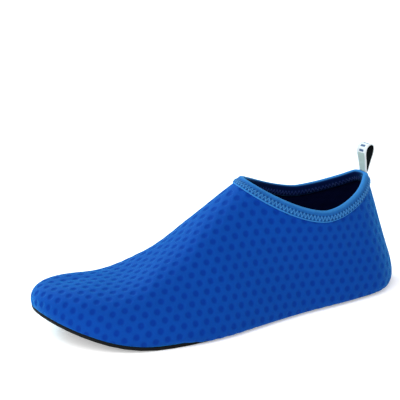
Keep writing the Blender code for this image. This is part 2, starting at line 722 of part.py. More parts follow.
def build_outsole(material, parent):
    """Moulded plate: honeycomb, pads, flex rib and toe lobes underneath, rounded side, plain top."""
    plan = tread_plan()
    points, outlines = [], []
    for _, outline in plan:
        outlines.append(list(range(len(points), len(points) + len(outline))))
        points += [Vector((float(p[0]), float(p[1]))) for p in outline]
    flat, _, faces, origins, _, _ = delaunay_2d_cdt(points, [], outlines, 0, 3e-5, True)
    spots = np.array([np.mean([flat[i] for i in face], axis=0) for face in faces])
    inside = [(kind, lies_in(spots, np.array(outline))) for kind, outline in plan]
    bm = bmesh.new()
    verts = [bm.verts.new((p.x, p.y, 0)) for p in flat]
    groups = {}
    for number, face in enumerate(faces):
        kinds = {kind for kind, within in inside if within[number]}
        if "sole" in kinds:
            groups.setdefault(face_kind(kinds), []).append(bm.faces.new([verts[i] for i in face]))
    place_of = {original: index for index, ids in enumerate(origins) for original in ids}
    rim = [verts[place_of[i]] for i in outlines[0]]
    bm.normal_update()
    depths = {"groove": GROOVE_DEPTH, "ring floor": RING_RECESS, "disc floor": RING_RECESS, "rib bed": RIB_BED_DEPTH}
    for kind, depth in depths.items():
        moved = bmesh.ops.extrude_face_region(bm, geom=groups[kind])
        bmesh.ops.delete(bm, geom=[f for f in groups[kind] if f.is_valid], context="FACES")
        raised = [v for v in moved["geom"] if isinstance(v, bmesh.types.BMVert)]
        bmesh.ops.translate(bm, verts=raised, vec=(0, 0, depth))
    for pad in PADS:
        x, y, radius = pad_place(pad)
        for v in bm.verts:
            distance = hypot(v.co.x - x, v.co.y - y)
            if pad.kind == "dome" and distance < radius + MOAT / 4 and v.co.z < DOME_SINK:
                v.co.z = DOME_SINK * (distance / radius) ** 2
    side = SOLE_EDGE_ROUND
    rings = [rim, edge_ring(bm, side * 0.3, side * 0.3), edge_ring(bm, 0, side)]
    rings += [edge_ring(bm, 0, SOLE_THICKNESS - side / 2), edge_ring(bm, side / 2, SOLE_THICKNESS)]
    rings += [edge_ring(bm, INSOLE_INSET, SOLE_THICKNESS), edge_ring(bm, FLANGE, SOLE_THICKNESS)]
    tread = [v for v in bm.verts if all(v not in ring for ring in rings[1:])]
    for v in tread:
        v.co.z += lift(v.co.x, v.co.y)
    loft(bm, rings)
    close_across(bm, rings[-1])
    bmesh.ops.recalc_face_normals(bm, faces=bm.faces)
    return new_object("outsole", bm, material, parent)


def centre_on_floor(root, objects):
    """Moves the shoe so that the middle of its bounding box's floor lies at the origin."""
    graph = bpy.context.evaluated_depsgraph_get()
    corners = np.vstack([[v.co[:] for v in obj.evaluated_get(graph).to_mesh().vertices] for obj in objects])
    low, high = corners.min(0), corners.max(0)
    root.location = (-(low[0] + high[0]) / 2, -(low[1] + high[1]) / 2, -low[2])


def main():
    for obj in list(bpy.data.objects):
        bpy.data.objects.remove(obj)
    root = bpy.data.objects.new("shoe", None)
    bpy.context.scene.collection.objects.link(root)
    knit = principled("blue stretch knit", (0.007, 0.072, 0.36), 0.75)
    tape = principled("blue elastic tape", (0.055, 0.17, 0.45), 0.7)
    rubber = principled("black rubber", (0.018, 0.018, 0.019), 0.55)
    foam = principled("dark navy foam", (0.003, 0.008, 0.025), 0.9)
    ribbon = principled("pale woven ribbon", (0.62, 0.72, 0.70), 0.6)
    upper, collar = build_upper(knit, root)
    binding = build_binding(tape, root, upper, collar)
    loop = build_loop(ribbon, root, binding, collar[0][0])
    outsole = build_outsole(rubber, root)
    insole = build_insole(foam, root)
    centre_on_floor(root, (upper, binding, loop, outsole, insole))


main()
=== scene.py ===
"""Looks of a left water shoe: dotted stretch knit, bound collar, pull loop, footbed and moulded rubber sole.

Metres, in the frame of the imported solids. The form of last and sole follows the same few sizes and tables
as the solids do; what is new here is the fine surface.
"""

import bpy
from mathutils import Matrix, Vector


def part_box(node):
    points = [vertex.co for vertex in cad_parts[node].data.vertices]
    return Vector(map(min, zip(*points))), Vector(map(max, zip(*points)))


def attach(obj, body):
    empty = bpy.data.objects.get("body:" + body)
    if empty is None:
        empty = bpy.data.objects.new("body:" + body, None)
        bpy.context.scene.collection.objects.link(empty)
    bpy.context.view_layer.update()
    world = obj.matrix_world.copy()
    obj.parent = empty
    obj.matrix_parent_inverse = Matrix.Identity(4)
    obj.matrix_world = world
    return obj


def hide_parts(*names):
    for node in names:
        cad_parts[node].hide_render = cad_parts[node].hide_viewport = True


bl_info = {
    "name": "Water Shoe Looks",
    "version": (1, 0, 0),
    "blender": (4, 5, 0),
    "location": "View3D > Sidebar > Water Shoe",
    "description": "Builds the visible pieces of a left water shoe around its solids, with a plain stage",
    "category": "Object",
}

from collections import namedtuple
from math import cos, pi, radians, sin

import bmesh
import bpy
import numpy as np
from bpy.props import FloatProperty, FloatVectorProperty, PointerProperty
from mathutils import Matrix, Vector
from mathutils.bvhtree import BVHTree

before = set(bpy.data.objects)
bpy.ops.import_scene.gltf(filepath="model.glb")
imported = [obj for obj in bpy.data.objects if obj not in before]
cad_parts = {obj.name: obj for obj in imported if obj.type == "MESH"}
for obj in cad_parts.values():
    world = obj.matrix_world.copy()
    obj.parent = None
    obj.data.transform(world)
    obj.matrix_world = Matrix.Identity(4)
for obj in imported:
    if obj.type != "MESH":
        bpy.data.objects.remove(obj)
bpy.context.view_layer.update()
SOLE_LOW, SOLE_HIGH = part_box("outsole")
LOOP_LOW, LOOP_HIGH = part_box("pull_loop")
BODY = "root"

# Driving sizes of sole and last, as in the solids
SOLE_LENGTH = SOLE_HIGH.x - SOLE_LOW.x
BALL_WIDTH = 0.0908
HEEL_ROUND = SOLE_LENGTH * 0.12764
TOE_ROUND = SOLE_LENGTH * 0.2473
TOE_SPRING = 0.0170
ARCH_RISE = 0.0035
THROAT_HEIGHT = 0.0856
THROAT_AT = 0.105
THROAT_FOOT = 0.1295
HEEL_HEIGHT = 0.0765
HEEL_LEAN = 0.0165
DIP_OUTER = 0.0632
DIP_INNER = 0.0664
DIP_AT = 0.055
TOE_SET_BACK = 0.035
SWELL = 0.0056
HANG = 0.0039
HANG_AT = 0.035
HANG_END = (0.60, 0.72)
UPPER_WALL = 0.0016
CLEARANCE = 0.0003
SOLE_THICKNESS = 0.0026
INSOLE_INSET = 0.0024
BINDING_WIDTH = 0.0062
BINDING_TAPE = 0.0009

UPPER_FLOOR = SOLE_THICKNESS + CLEARANCE
TOE_END = SOLE_LENGTH - TOE_SET_BACK
OUTER_SIDE = 1

# Sole outline, heel to toe: place along the sole, middle line and half width as shares of the ball width,
# rise of the toe as a share of the toe spring, and cupping of the arch as a share of its rise
Outline = namedtuple("Outline", "along centre half spring arch")
OUTLINE = [
    Outline(0.00, -0.060, 0.325, 0.03, 0.00),
    Outline(0.06, -0.010, 0.326, 0.00, 0.00),
    Outline(0.12, 0.000, 0.338, 0.00, 0.00),
    Outline(0.17, 0.018, 0.356, 0.00, 0.10),
    Outline(0.24, 0.058, 0.355, 0.00, 0.45),
    Outline(0.32, 0.112, 0.346, 0.00, 0.85),
    Outline(0.40, 0.170, 0.352, 0.00, 1.00),
    Outline(0.48, 0.229, 0.366, 0.00, 0.85),
    Outline(0.54, 0.255, 0.395, 0.00, 0.45),
    Outline(0.60, 0.258, 0.432, 0.00, 0.10),
    Outline(0.68, 0.240, 0.480, 0.00, 0.00),
    Outline(0.76, 0.214, 0.500, 0.03, 0.00),
    Outline(0.84, 0.183, 0.500, 0.21, 0.00),
    Outline(0.92, 0.120, 0.500, 0.55, 0.00),
    Outline(1.00, 0.037, 0.500, 1.00, 0.00),
]

# Top line of the closed last: place (0 heel, 1 throat, 2 toe end), height as a share of the throat height,
# middle as a share of the ball width
Ridge = namedtuple("Ridge", "place height middle")
RIDGE = [
    Ridge(0.30, 1.195, -0.008),
    Ridge(0.62, 1.200, 0.010),
    Ridge(1.00, 1.000, 0.030),
    Ridge(1.27, 0.805, 0.100),
    Ridge(1.52, 0.600, 0.160),
    Ridge(1.77, 0.442, 0.115),
    Ridge(2.00, 0.402, 0.055),
]

# Walls from the sole edge to the top line: lean at the foot in radians, pull of the lower and the upper end
# as shares of the span, swell over the sole edge on both sides as shares of SWELL, and where it is widest
Wall = namedtuple("Wall", "along lean low_pull high_pull swell_outer swell_inner swell_at")
WALLS = [
    Wall(0.00, -0.05, 0.387, 0.160, 0.92, 0.92, 0.078),
    Wall(0.28, -0.08, 0.300, 0.365, 0.97, 0.62, 0.078),
    Wall(0.52, -0.08, 0.300, 0.365, 0.97, 0.62, 0.078),
    Wall(0.95, 0.00, 0.470, 0.455, 0.12, 0.12, 0.120),
    Wall(1.00, 0.00, 0.470, 0.455, 0.10, 0.10, 0.120),
]

# The photograph's view: aim from the heel end of the sole, distance, turn, tilt, roll, lens and framing
VIEW_AIM = (0.125, 0.015, 0.035)
VIEW_DISTANCE = 0.9872
VIEW_TURN = radians(160.888)
VIEW_TILT = radians(18.661)
VIEW_ROLL = radians(-2.114)
VIEW_LENS = 134.97
VIEW_SHIFT = (-0.0544, 0.1528)


def unit(rows):
    return rows / np.linalg.norm(rows, axis=-1, keepdims=True)


def running(steps):
    return np.concatenate([[0], np.cumsum(steps)])


def table_values(table, name):
    return np.array([getattr(row, name) for row in table], float)


def row_and_share(xs, x):
    x = np.clip(x, xs[0], xs[-1])
    row = np.clip(np.searchsorted(xs, x, side="right") - 1, 0, len(xs) - 2)
    return row, (x - xs[row]) / (xs[row + 1] - xs[row])


def smooth(xs, ys, x):
    """Cubic curve through the rows of a table."""
    xs = np.asarray(xs, float)
    ys = np.asarray(ys, float)
    slopes = np.gradient(ys, xs)
    row, t = row_and_share(xs, x)
    step = xs[row + 1] - xs[row]
    value = (2 * t**3 - 3 * t**2 + 1) * ys[row] + (3 * t**2 - 2 * t**3) * ys[row + 1]
    return value + ((t**3 - 2 * t**2 + t) * slopes[row] + (t**3 - t**2) * slopes[row + 1]) * step


def ease(low, high, value):
    """Smooth step from 0 at low to 1 at high."""
    t = np.clip((value - low) / (high - low), 0, 1)
    return t * t * (3 - 2 * t)


def outline_value(name, x):
    return smooth(table_values(OUTLINE, "along"), table_values(OUTLINE, name), np.asarray(x) / SOLE_LENGTH)


def half_width(x):
    """Half the sole's width, with round ends at heel and toe."""
    x = np.clip(x, 0, SOLE_LENGTH)
    heel = np.sqrt(1 - (1 - np.minimum(x / HEEL_ROUND, 1)) ** 2)
    toe = np.sqrt(1 - (1 - np.minimum((SOLE_LENGTH - x) / TOE_ROUND, 1)) ** 2)
    return outline_value("half", x) * BALL_WIDTH * heel * toe


def middle(x):
    return outline_value("centre", x) * BALL_WIDTH


def lift(x, y):
    """Rise of the whole sole over the floor: the toe spring, and the arch cupped towards its inner edge."""
    x = np.clip(x, 0, SOLE_LENGTH)
    inward = np.clip((middle(x) - y) / np.maximum(half_width(x), HEEL_ROUND / 4), 0, 1.1)
    spring = np.maximum(outline_value("spring", x), 0) * TOE_SPRING
    return spring + np.maximum(outline_value("arch", x), 0) * ARCH_RISE * inward**3


def station_x(u):
    """Place along the sole of a station: 0 at the heel end, 1 at the toe end."""
    return SOLE_LENGTH * (1 - np.cos(pi * np.asarray(u))) / 2


THROAT_STATION = float(np.arccos(1 - 2 * THROAT_FOOT / SOLE_LENGTH) / pi)


def edge_plan(u, side):
    x = station_x(u)
    return x, middle(x) + side * half_width(x)


def edge_normal(u, side):
    """Way out of the sole outline in plan."""
    step = 1e-4
    xa, ya = edge_plan(np.clip(u - step, 0, 1), side)
    xb, yb = edge_plan(np.clip(u + step, 0, 1), side)
    return unit(np.stack([-side * (yb - ya), side * (xb - xa), 0 * xa], -1))


def edge_point(u, side, inset, height):
    """Point by the sole edge, inset in plan, at a height over the sole's underside."""
    x, y = edge_plan(u, side)
    out = edge_normal(u, side)
    x = x - out[..., 0] * inset
    y = y - out[..., 1] * inset
    return np.stack([x, y, height + lift(x, y)], -1)


def ridge_point(place):
    places = table_values(RIDGE, "place")
    x = np.where(place < 1, THROAT_AT * place, THROAT_AT + (TOE_END - THROAT_AT) * (place - 1))
    y = smooth(places, table_values(RIDGE, "middle"), place) * BALL_WIDTH
    z = smooth(places, table_values(RIDGE, "height"), place) * THROAT_HEIGHT
    return np.stack([x, y, z], -1)


def ridge_place(x):
    """Place on the top line that a station of the sole edge leads to; the throat stands over its foot."""
    first = RIDGE[0].place
    feet = [0, THROAT_FOOT / 2, THROAT_FOOT, (THROAT_FOOT + SOLE_LENGTH) / 2, SOLE_LENGTH]
    return smooth(feet, [first, first + (1 - first) * 0.46, 1, 1.5, 2], x)


def wall_value(name, x):
    """A column of WALLS, eased from row to row."""
    values = table_values(WALLS, name)
    row, t = row_and_share(table_values(WALLS, "along"), x / SOLE_LENGTH)
    return values[row] + (values[row + 1] - values[row]) * t * t * (3 - 2 * t)


def hang_share(x):
    """How much of the hang over the sole's edge the wall has: all of it behind the ball, none at the toes."""
    return 1 - ease(*HANG_END, x / SOLE_LENGTH)


def last_surface(u, v, side):
    """Outside of the closed last: u runs along the sole edge, v from the sole edge up to the top line."""
    u, v = np.broadcast_arrays(np.asarray(u, float), np.asarray(v, float))
    x = station_x(u)
    start = edge_point(u, side, 0, UPPER_FLOOR)
    out = edge_normal(u, side)
    place = ridge_place(x)
    end = ridge_point(place)
    step = 1e-3
    run = ridge_point(np.clip(place + step, 0, 2)) - ridge_point(np.clip(place - step, RIDGE[0].place, 2))
    span = end - start
    reach = np.linalg.norm(span, axis=-1)[..., None]
    arrive = unit(span * [1, 1, 0])
    arrive[..., 2] = arrive[..., 0] * run[..., 2] / run[..., 0]
    arrive = unit(arrive)
    lean = wall_value("lean", x)[..., None]
    leave = out * np.sin(lean) + np.array([0, 0, 1]) * np.cos(lean)
    low = start + leave * reach * wall_value("low_pull", x)[..., None]
    high = end - arrive * reach * wall_value("high_pull", x)[..., None]
    w = v[..., None]
    wall = (1 - w) ** 3 * start + 3 * (1 - w) ** 2 * w * low + 3 * (1 - w) * w**2 * high + w**3 * end
    swell = SWELL * wall_value("swell_outer" if side == OUTER_SIDE else "swell_inner", x)
    rise = v / wall_value("swell_at", x)
    wall = wall + out * (swell * rise * np.exp(1 - rise))[..., None]
    sink = v / HANG_AT
    wall[..., 2] -= HANG * hang_share(x) * sink * np.exp(1 - sink)
    return wall


def collar_height(x, side):
    """Height of the cut seen from the side: down from the heel to the ankle, up again to the throat."""
    dip = DIP_OUTER if side == OUTER_SIDE else DIP_INNER
    fall = np.clip((x - HEEL_LEAN) / (DIP_AT - HEEL_LEAN), 0, 1)
    rise = np.clip((x - DIP_AT) / (THROAT_AT - DIP_AT), 0, 1)
    rear = dip + (HEEL_HEIGHT - dip) * (1 - fall) ** 2
    front = dip + (THROAT_HEIGHT - dip) * rise**1.5
    return np.where(x < DIP_AT, rear, front) + np.maximum(x - THROAT_AT, 0)


def collar_cut(side, count, samples=240, tries=300):
    """Stations and shares of the wall where the collar cuts it, evenly spaced along the cut."""
    u = THROAT_STATION * (1 - (1 - np.linspace(0, 1, samples)) ** 2)
    v = np.linspace(0.3, 1, tries)
    wall = last_surface(u[:, None], v[None, :], side)
    over = wall[..., 2] - collar_height(wall[..., 0], side)
    first = np.clip((over > 0).argmax(1), 1, None)
    rows = np.arange(samples)
    low, high = over[rows, first - 1], over[rows, first]
    share = np.clip(-low / (high - low + 1e-12), 0, 1)
    cut = np.where((over > 0).any(1), v[first - 1] + (v[1] - v[0]) * share, 1)
    cut[-1] = 1
    run = running(np.linalg.norm(np.diff(last_surface(u, cut, side), axis=0), axis=1))
    even = np.linspace(0, run[-1], count)
    return np.interp(even, run, u), np.interp(even, run, cut)


def frame_shift():
    """Way from the heel end of the sole, where the tables start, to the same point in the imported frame."""
    x = station_x(np.linspace(0, 1, 2000))
    low = (middle(x) - half_width(x)).min()
    high = (middle(x) + half_width(x)).max()
    return np.array([SOLE_LOW.x, (SOLE_LOW.y + SOLE_HIGH.y - low - high) / 2, 0])


SHIFT = frame_shift()


def in_frame(points):
    return np.asarray(points, float) + SHIFT


def finished(name, bm, materials, smooth_angle=40):
    """A piece at the origin from a bmesh, smooth but for edges sharper than an angle in degrees."""
    mesh = bpy.data.meshes.new(name)
    bm.to_mesh(mesh)
    bm.free()
    for material in materials:
        mesh.materials.append(material)
    mesh.shade_smooth()
    mesh.set_sharp_from_angle(angle=radians(smooth_angle))
    obj = bpy.data.objects.new(name, mesh)
    bpy.context.scene.collection.objects.link(obj)
    return obj


def grid_sheet(bm, columns, rows, layer_name=None):
    """A grid whose vertices come with their places: column and row numbers."""
    verts = bmesh.ops.create_grid(bm, x_segments=columns, y_segments=rows, size=1)["verts"]
    places = np.array([v.co[:2] for v in verts])
    numbers = np.rint((places + 1) / 2 * [columns, rows]).astype(int)
    if layer_name:
        layer = bm.loops.layers.uv.get(layer_name) or bm.loops.layers.uv.new(layer_name)
        spot = {v: n for v, n in zip(verts, numbers)}
        for face in {f for v in verts for f in v.link_faces}:
            for loop in face.loops:
                loop[layer].uv = [float(n) for n in spot[loop.vert]]
    return verts, numbers


def move_to(verts, points):
    for v, p in zip(verts, points):
        v.co = p


# Grid of the upper: columns behind and ahead of the throat's foot and how the former bend to the collar,
# rows up the wall and how much they crowd near the foot, insets of the edge turned in under the foot, and
# grid steps in one step of the cloth table
REAR_COLUMNS = 96
FRONT_COLUMNS = 108
COLUMN_BEND = 1.6
WALL_ROWS = 70
FOOT_CROWDING = 0.25
FLANGE_INSETS = (0.0088, 0.0030)
COARSE = 4

# Lay of the knit, with places as shares of the sole's length: where the rows of dots turn from level to
# running back to the heel, their tilt at the rear and where it ends, and their tilt by the top line with the
# places and the shares of the wall where it starts
ROWS_TURN = (0.35, 0.6)
REAR_TILT = radians(-8)
REAR_TILT_END = (0.55, 0.85)
RIDGE_TILT = radians(9)
RIDGE_TILT_PLACES = (0.35, 0.5)
RIDGE_TILT_SHARES = (0.55, 1)

# Laying the knit flat: length below which a thread pulls no harder, rounds of turning and laying, how firmly
# the rows keep their way on the outer side, the shares of the wall over which that hold fades, and the step
# in station and share that finds a way on the wall
CLOTH_STEP = 0.001
CLOTH_ROUNDS = 20
CLOTH_HOLD = 0.5
CLOTH_FREE = (0.6, 0.9)
WAY_STEP = 2e-3


def row_shares(rows):
    """Shares of the wall's height at the rows, closer together near the foot."""
    even = np.linspace(0, 1, rows + 1)
    return even * (1 - FOOT_CROWDING) + even**3 * FOOT_CROWDING


def wall_places(side, rear, front, rows):
    """Stations and shares of the wall on a grid: rear columns end on the collar, others on the top line."""
    top_u, top_v = collar_cut(side, rear + 1)
    share = row_shares(rows)
    foot_u = np.linspace(0, THROAT_STATION, rear + 1)
    rear_u = foot_u[:, None] + (top_u - foot_u)[:, None] * share**COLUMN_BEND
    rear_v = top_v[:, None] * share
    front_u = np.linspace(THROAT_STATION, 1, front + 1)[1:]
    u = np.vstack([rear_u, np.repeat(front_u[:, None], rows + 1, 1)])
    v = np.vstack([rear_v, np.repeat(share[None], front, 0)])
    return u, v


def last_sheet(rear, front, rows, flange=()):
    """Both sides of the last up to the collar as one sheet, open at the heel line, with places as its UV."""
    bm = bmesh.new()
    for side in (1, -1):
        verts, numbers = grid_sheet(bm, rear + front, rows + len(flange), "place")
        u, v = wall_places(side, rear, front, rows)
        wall = in_frame(last_surface(u, v, side))
        if flange:
            under = [in_frame(edge_point(u[:, 0], side, inset, UPPER_FLOOR)) for inset in flange]
            wall = np.concatenate([np.stack(under, 1), wall], 1)
        move_to(verts, wall[numbers[:, 0], numbers[:, 1]])
        faces = list({f for vert in verts for f in vert.link_faces})
        for face in faces:
            face.material_index = 0 if side == 1 else 1
        if side == 1:
            bmesh.ops.reverse_faces(bm, faces=faces)
    seam = [v for v in bm.verts if v.is_boundary and v.co.x > SHIFT[0] + THROAT_AT * 0.9]
    bmesh.ops.remove_doubles(bm, verts=seam, dist=2e-5)
    return bm


def wall_ways(u, v, side):
    """Places on the wall, with the way up along it and the way out of it."""
    here = last_surface(u, v, side)
    ahead = last_surface(np.clip(u + WAY_STEP, 0, 1), v, side)
    behind = last_surface(np.clip(u - WAY_STEP, 0, 1), v, side)
    up = here - last_surface(u, v - WAY_STEP, side)
    return here, up, unit(np.cross(ahead - behind, up)) * -side


def loop_uvs(mesh, name):
    uvs = np.zeros(len(mesh.loops) * 2, np.float32)
    mesh.uv_layers[name].uv.foreach_get("vector", uvs)
    return uvs.reshape(-1, 2)


def thread_ways(points, normals, side, share):
    """Ways of the knit's rows towards the heel, ways square to them, and how clearly the first are set."""
    x = points[..., 0] / SOLE_LENGTH
    level = np.cross([0, 0, 1], normals) * side
    back = normals * normals[..., :1] - [1, 0, 0]
    front = ease(*ROWS_TURN, x)[..., None]
    wish = level * (1 - front) + back * front
    way = unit(wish + 1e-9)
    up = np.cross(normals, way) * side
    tilt = REAR_TILT * (1 - ease(*REAR_TILT_END, x))
    ridge = ease(*RIDGE_TILT_SHARES, share) * ease(*RIDGE_TILT_PLACES, x)
    tilt = (tilt * (1 - ridge) + RIDGE_TILT * ridge)[..., None]
    across = (up * np.cos(tilt) - way * np.sin(tilt)) * -side
    return way * np.cos(tilt) + up * np.sin(tilt), across, np.linalg.norm(wish, axis=-1)


def cloth_runs(rear, front, rows, number):
    """Threads between neighbours of the coarse sheet: their two ends, and their run as seen from either end.

    A run is a complex number: real along the rows of dots, imaginary square to them. The last result says how
    firmly each place holds the way of its rows.
    """
    starts, ends, start_runs, end_runs = [], [], [], []
    held = np.zeros(number.max() + 1)
    whole, before, after = slice(None), slice(0, -1), slice(1, None)
    for index, side in enumerate((1, -1)):
        u, v = wall_places(side, rear, front, rows)
        points, _, normals = wall_ways(u, v, side)
        along, across, weight = thread_ways(points, normals, side, v)
        ways = along + 1j * across
        if side == OUTER_SIDE:
            held[number[index]] = weight * (1 - ease(*CLOTH_FREE, v))
        for a, b in (((before, whole), (after, whole)), ((whole, before), (whole, after)),
                     ((before, before), (after, after))):
            run = points[b] - points[a]
            starts.append(number[index][a].ravel())
            ends.append(number[index][b].ravel())
            start_runs.append((run * ways[a]).sum(-1).ravel())
            end_runs.append((run * ways[b]).sum(-1).ravel())
    parts = (np.concatenate(part) for part in (starts, ends, start_runs, end_runs))
    return *parts, held


def cloth_table(rear, front, rows):
    """Flat places of the knit, in metres, on a coarse sheet: arrays per side over columns and rows.

    The rows of dots follow thread_ways as far as a cloth in one piece can that hardly stretches.
    """
    columns = rear + front
    number = np.arange(2 * (columns + 1) * (rows + 1)).reshape(2, columns + 1, rows + 1)
    number[1, rear:, rows] = number[0, rear:, rows]
    number[1, columns] = number[0, columns]
    starts, ends, start_runs, end_runs, held = cloth_runs(rear, front, rows, number)
    count = number.max() + 1
    pull = 1 / (abs(start_runs) ** 2 + CLOTH_STEP**2)
    system = np.zeros((count, count))
    np.add.at(system, (starts, starts), pull)
    np.add.at(system, (ends, ends), pull)
    np.add.at(system, (starts, ends), -pull)
    np.add.at(system, (ends, starts), -pull)
    used = np.unique(number)
    fixed = number[0, rear, rows]
    system[fixed, fixed] += pull.mean()
    inverse = np.linalg.inv(system[np.ix_(used, used)])
    flat = np.zeros(count, complex)
    turn = np.ones(count, complex)
    for _ in range(CLOTH_ROUNDS):
        target = (start_runs * turn[starts] + end_runs * turn[ends]) / 2 * pull
        known = np.zeros(count, complex)
        np.add.at(known, ends, target)
        np.add.at(known, starts, -target)
        flat[used] = inverse @ known[used]
        run = (flat[ends] - flat[starts]) * pull
        fit = np.zeros(count, complex)
        size = np.full(count, 1e-9)
        for spots, runs in ((starts, start_runs), (ends, end_runs)):
            np.add.at(fit, spots, np.conj(runs) * run)
            np.add.at(size, spots, abs(runs) ** 2 * pull)
        turn = fit / size + CLOTH_HOLD * held + 1e-9
        turn /= abs(turn)
    return np.stack([flat.real, flat.imag], -1)[number]


def table_lookup(table, side, column, row):
    """Value of a coarse table between its columns and rows."""
    column = np.clip(column, 0, table.shape[1] - 1.001)
    row = np.clip(row, 0, table.shape[2] - 1.001)
    left, under = column.astype(int), row.astype(int)
    past, over = (column - left)[:, None], (row - under)[:, None]
    low = table[side, left, under] * (1 - past) + table[side, left + 1, under] * past
    high = table[side, left, under + 1] * (1 - past) + table[side, left + 1, under + 1] * past
    return low * (1 - over) + high * over


def dot_distance(flat, pitch, row):
    """Distance in metres from places on the flat cloth to the nearest dot of the staggered rows."""
    distances = []
    for shift in (0, 0.5):
        x = (flat[:, 0] / pitch - shift + 0.5) % 1 - 0.5
        y = (flat[:, 1] / (2 * row) - shift + 0.5) % 1 - 0.5
        distances.append(np.hypot(x * pitch, y * 2 * row))
    return np.minimum(*distances)


def times(colour, factor):
    return [min(c * factor, 1) for c in colour]


class Graph:
    """Adds linked nodes to one node tree."""

    def __init__(self, tree):
        self.tree = tree

    def put(self, socket, value):
        if isinstance(value, bpy.types.NodeSocket):
            self.tree.links.new(value, socket)
        elif hasattr(socket.default_value, "__len__") and len(socket.default_value) == 4 and len(value) == 3:
            socket.default_value = (*value, 1)
        else:
            socket.default_value = value

    def add(self, kind, inputs=None, **settings):
        node = self.tree.nodes.new(kind)
        for name, value in settings.items():
            setattr(node, name, value)
        for name, value in (inputs or {}).items():
            self.put(node.inputs[name], value)
        return node

    def math(self, operation, *values, clamp=False):
        node = self.add("ShaderNodeMath", operation=operation, use_clamp=clamp)
        for socket, value in zip(node.inputs, values):
            self.put(socket, value)
        return node.outputs[0]

    def mix(self, factor, one, other, blend="MIX"):
        node = self.add("ShaderNodeMix", data_type="RGBA", blend_type=blend)
        self.put(node.inputs[0], factor)
        self.put(node.inputs[6], one)
        self.put(node.inputs[7], other)
        return node.outputs[2]

    def ramp(self, value, low, high, start=0.0, end=1.0):
        """Smooth step of a value from start at low to end at high."""
        node = self.add("ShaderNodeMapRange", interpolation_type="SMOOTHSTEP")
        for socket, given in zip(node.inputs, (value, low, high, start, end)):
            self.put(socket, given)
        return node.outputs[0]

    def noise(self, vector, scale, detail=3.0, roughness=0.55):
        node = self.add("ShaderNodeTexNoise", {"Vector": vector, "Scale": scale, "Detail": detail,
                                               "Roughness": roughness})
        return node.outputs["Fac"]

    def split(self, vector):
        return self.add("ShaderNodeSeparateXYZ", {"Vector": vector}).outputs

    def join(self, x, y, z=0.0):
        return self.add("ShaderNodeCombineXYZ", {"X": x, "Y": y, "Z": z}).outputs[0]

    def wave(self, place, pitch):
        return self.math("SINE", self.math("MULTIPLY", place, 2 * pi / pitch))

    def shaded(self, colour, value, depth, least):
        """Painted shade and highlight of a relief: a colour darkened to least where the value is 0, lighter
        by depth at 1.
        """
        shade = self.math("MULTIPLY_ADD", value, depth, least)
        return self.mix(1.0, colour, self.join(shade, shade, shade), "MULTIPLY")

    def group(self, name, **inputs):
        node = self.add("ShaderNodeGroup", node_tree=shared_group(name))
        for label, value in inputs.items():
            self.put(node.inputs[label], value)
        return node.outputs

    def patches(self, place, size, contrast):
        return self.group("Soft Patches", Vector=place, Size=size, Contrast=contrast)["Mask"]


def start_group(name, inputs, outputs):
    """A node group with named sockets: inputs with defaults, outputs with their socket types."""
    tree = bpy.data.node_groups.new(name, "ShaderNodeTree")
    for label, value in inputs.items():
        kind = "NodeSocketVector" if value is None else "NodeSocketFloat"
        socket = tree.interface.new_socket(name=label, in_out="INPUT", socket_type=kind)
        if value is not None:
            socket.default_value = value
    for label, kind in outputs.items():
        tree.interface.new_socket(name=label, in_out="OUTPUT", socket_type=kind)
    graph = Graph(tree)
    entry = graph.add("NodeGroupInput").outputs
    leave = graph.add("NodeGroupOutput").inputs
    return graph, entry, leave


def dot_lattice_group():
    """Staggered rows of round dots: mask is 1 inside a dot."""
    inputs = {"Vector": None, "Pitch": 0.0078, "Row": 0.0059, "Radius": 0.0022, "Softness": 0.0007}
    g, entry, leave = start_group("Dot Lattice", inputs, {"Mask": "NodeSocketFloat"})
    x, y, _ = g.split(entry["Vector"])
    tall = g.math("MULTIPLY", entry["Row"], 2.0)
    distances = []
    for shift in (0.5, 0.0):
        across = g.math("ADD", g.math("DIVIDE", x, entry["Pitch"]), shift)
        up = g.math("ADD", g.math("DIVIDE", y, tall), shift)
        dx = g.math("MULTIPLY", g.math("SUBTRACT", g.math("FRACT", across), 0.5), entry["Pitch"])
        dy = g.math("MULTIPLY", g.math("SUBTRACT", g.math("FRACT", up), 0.5), tall)
        squares = g.math("ADD", g.math("MULTIPLY", dx, dx), g.math("MULTIPLY", dy, dy))
        distances.append(g.math("SQRT", squares))
    nearest = g.math("MINIMUM", *distances)
    low = g.math("SUBTRACT", entry["Radius"], entry["Softness"])
    high = g.math("ADD", entry["Radius"], entry["Softness"])
    g.put(leave["Mask"], g.ramp(nearest, low, high, 1.0, 0.0))
    return g.tree


def knit_group():
    """Fine jersey: wales of small slanted loops."""
    inputs = {"Vector": None, "Wale": 0.0009, "Course": 0.0007, "Uneven": 0.25}
    g, entry, leave = start_group("Knit Loops", inputs, {"Height": "NodeSocketFloat"})
    x, y, _ = g.split(entry["Vector"])
    wander = g.math("MULTIPLY", g.noise(entry["Vector"], 220.0), entry["Uneven"])
    across = g.math("ADD", g.math("DIVIDE", x, entry["Wale"]), wander)
    up = g.math("ADD", g.math("DIVIDE", y, entry["Course"]), wander)
    slant = g.math("PINGPONG", across, 0.5)
    loops = g.math("SINE", g.math("MULTIPLY", g.math("ADD", up, slant), 2 * pi))
    wales = g.math("SINE", g.math("MULTIPLY", slant, 2 * pi))
    g.put(leave["Height"], g.math("MULTIPLY", g.math("MULTIPLY_ADD", loops, 0.5, 0.5), wales))
    return g.tree


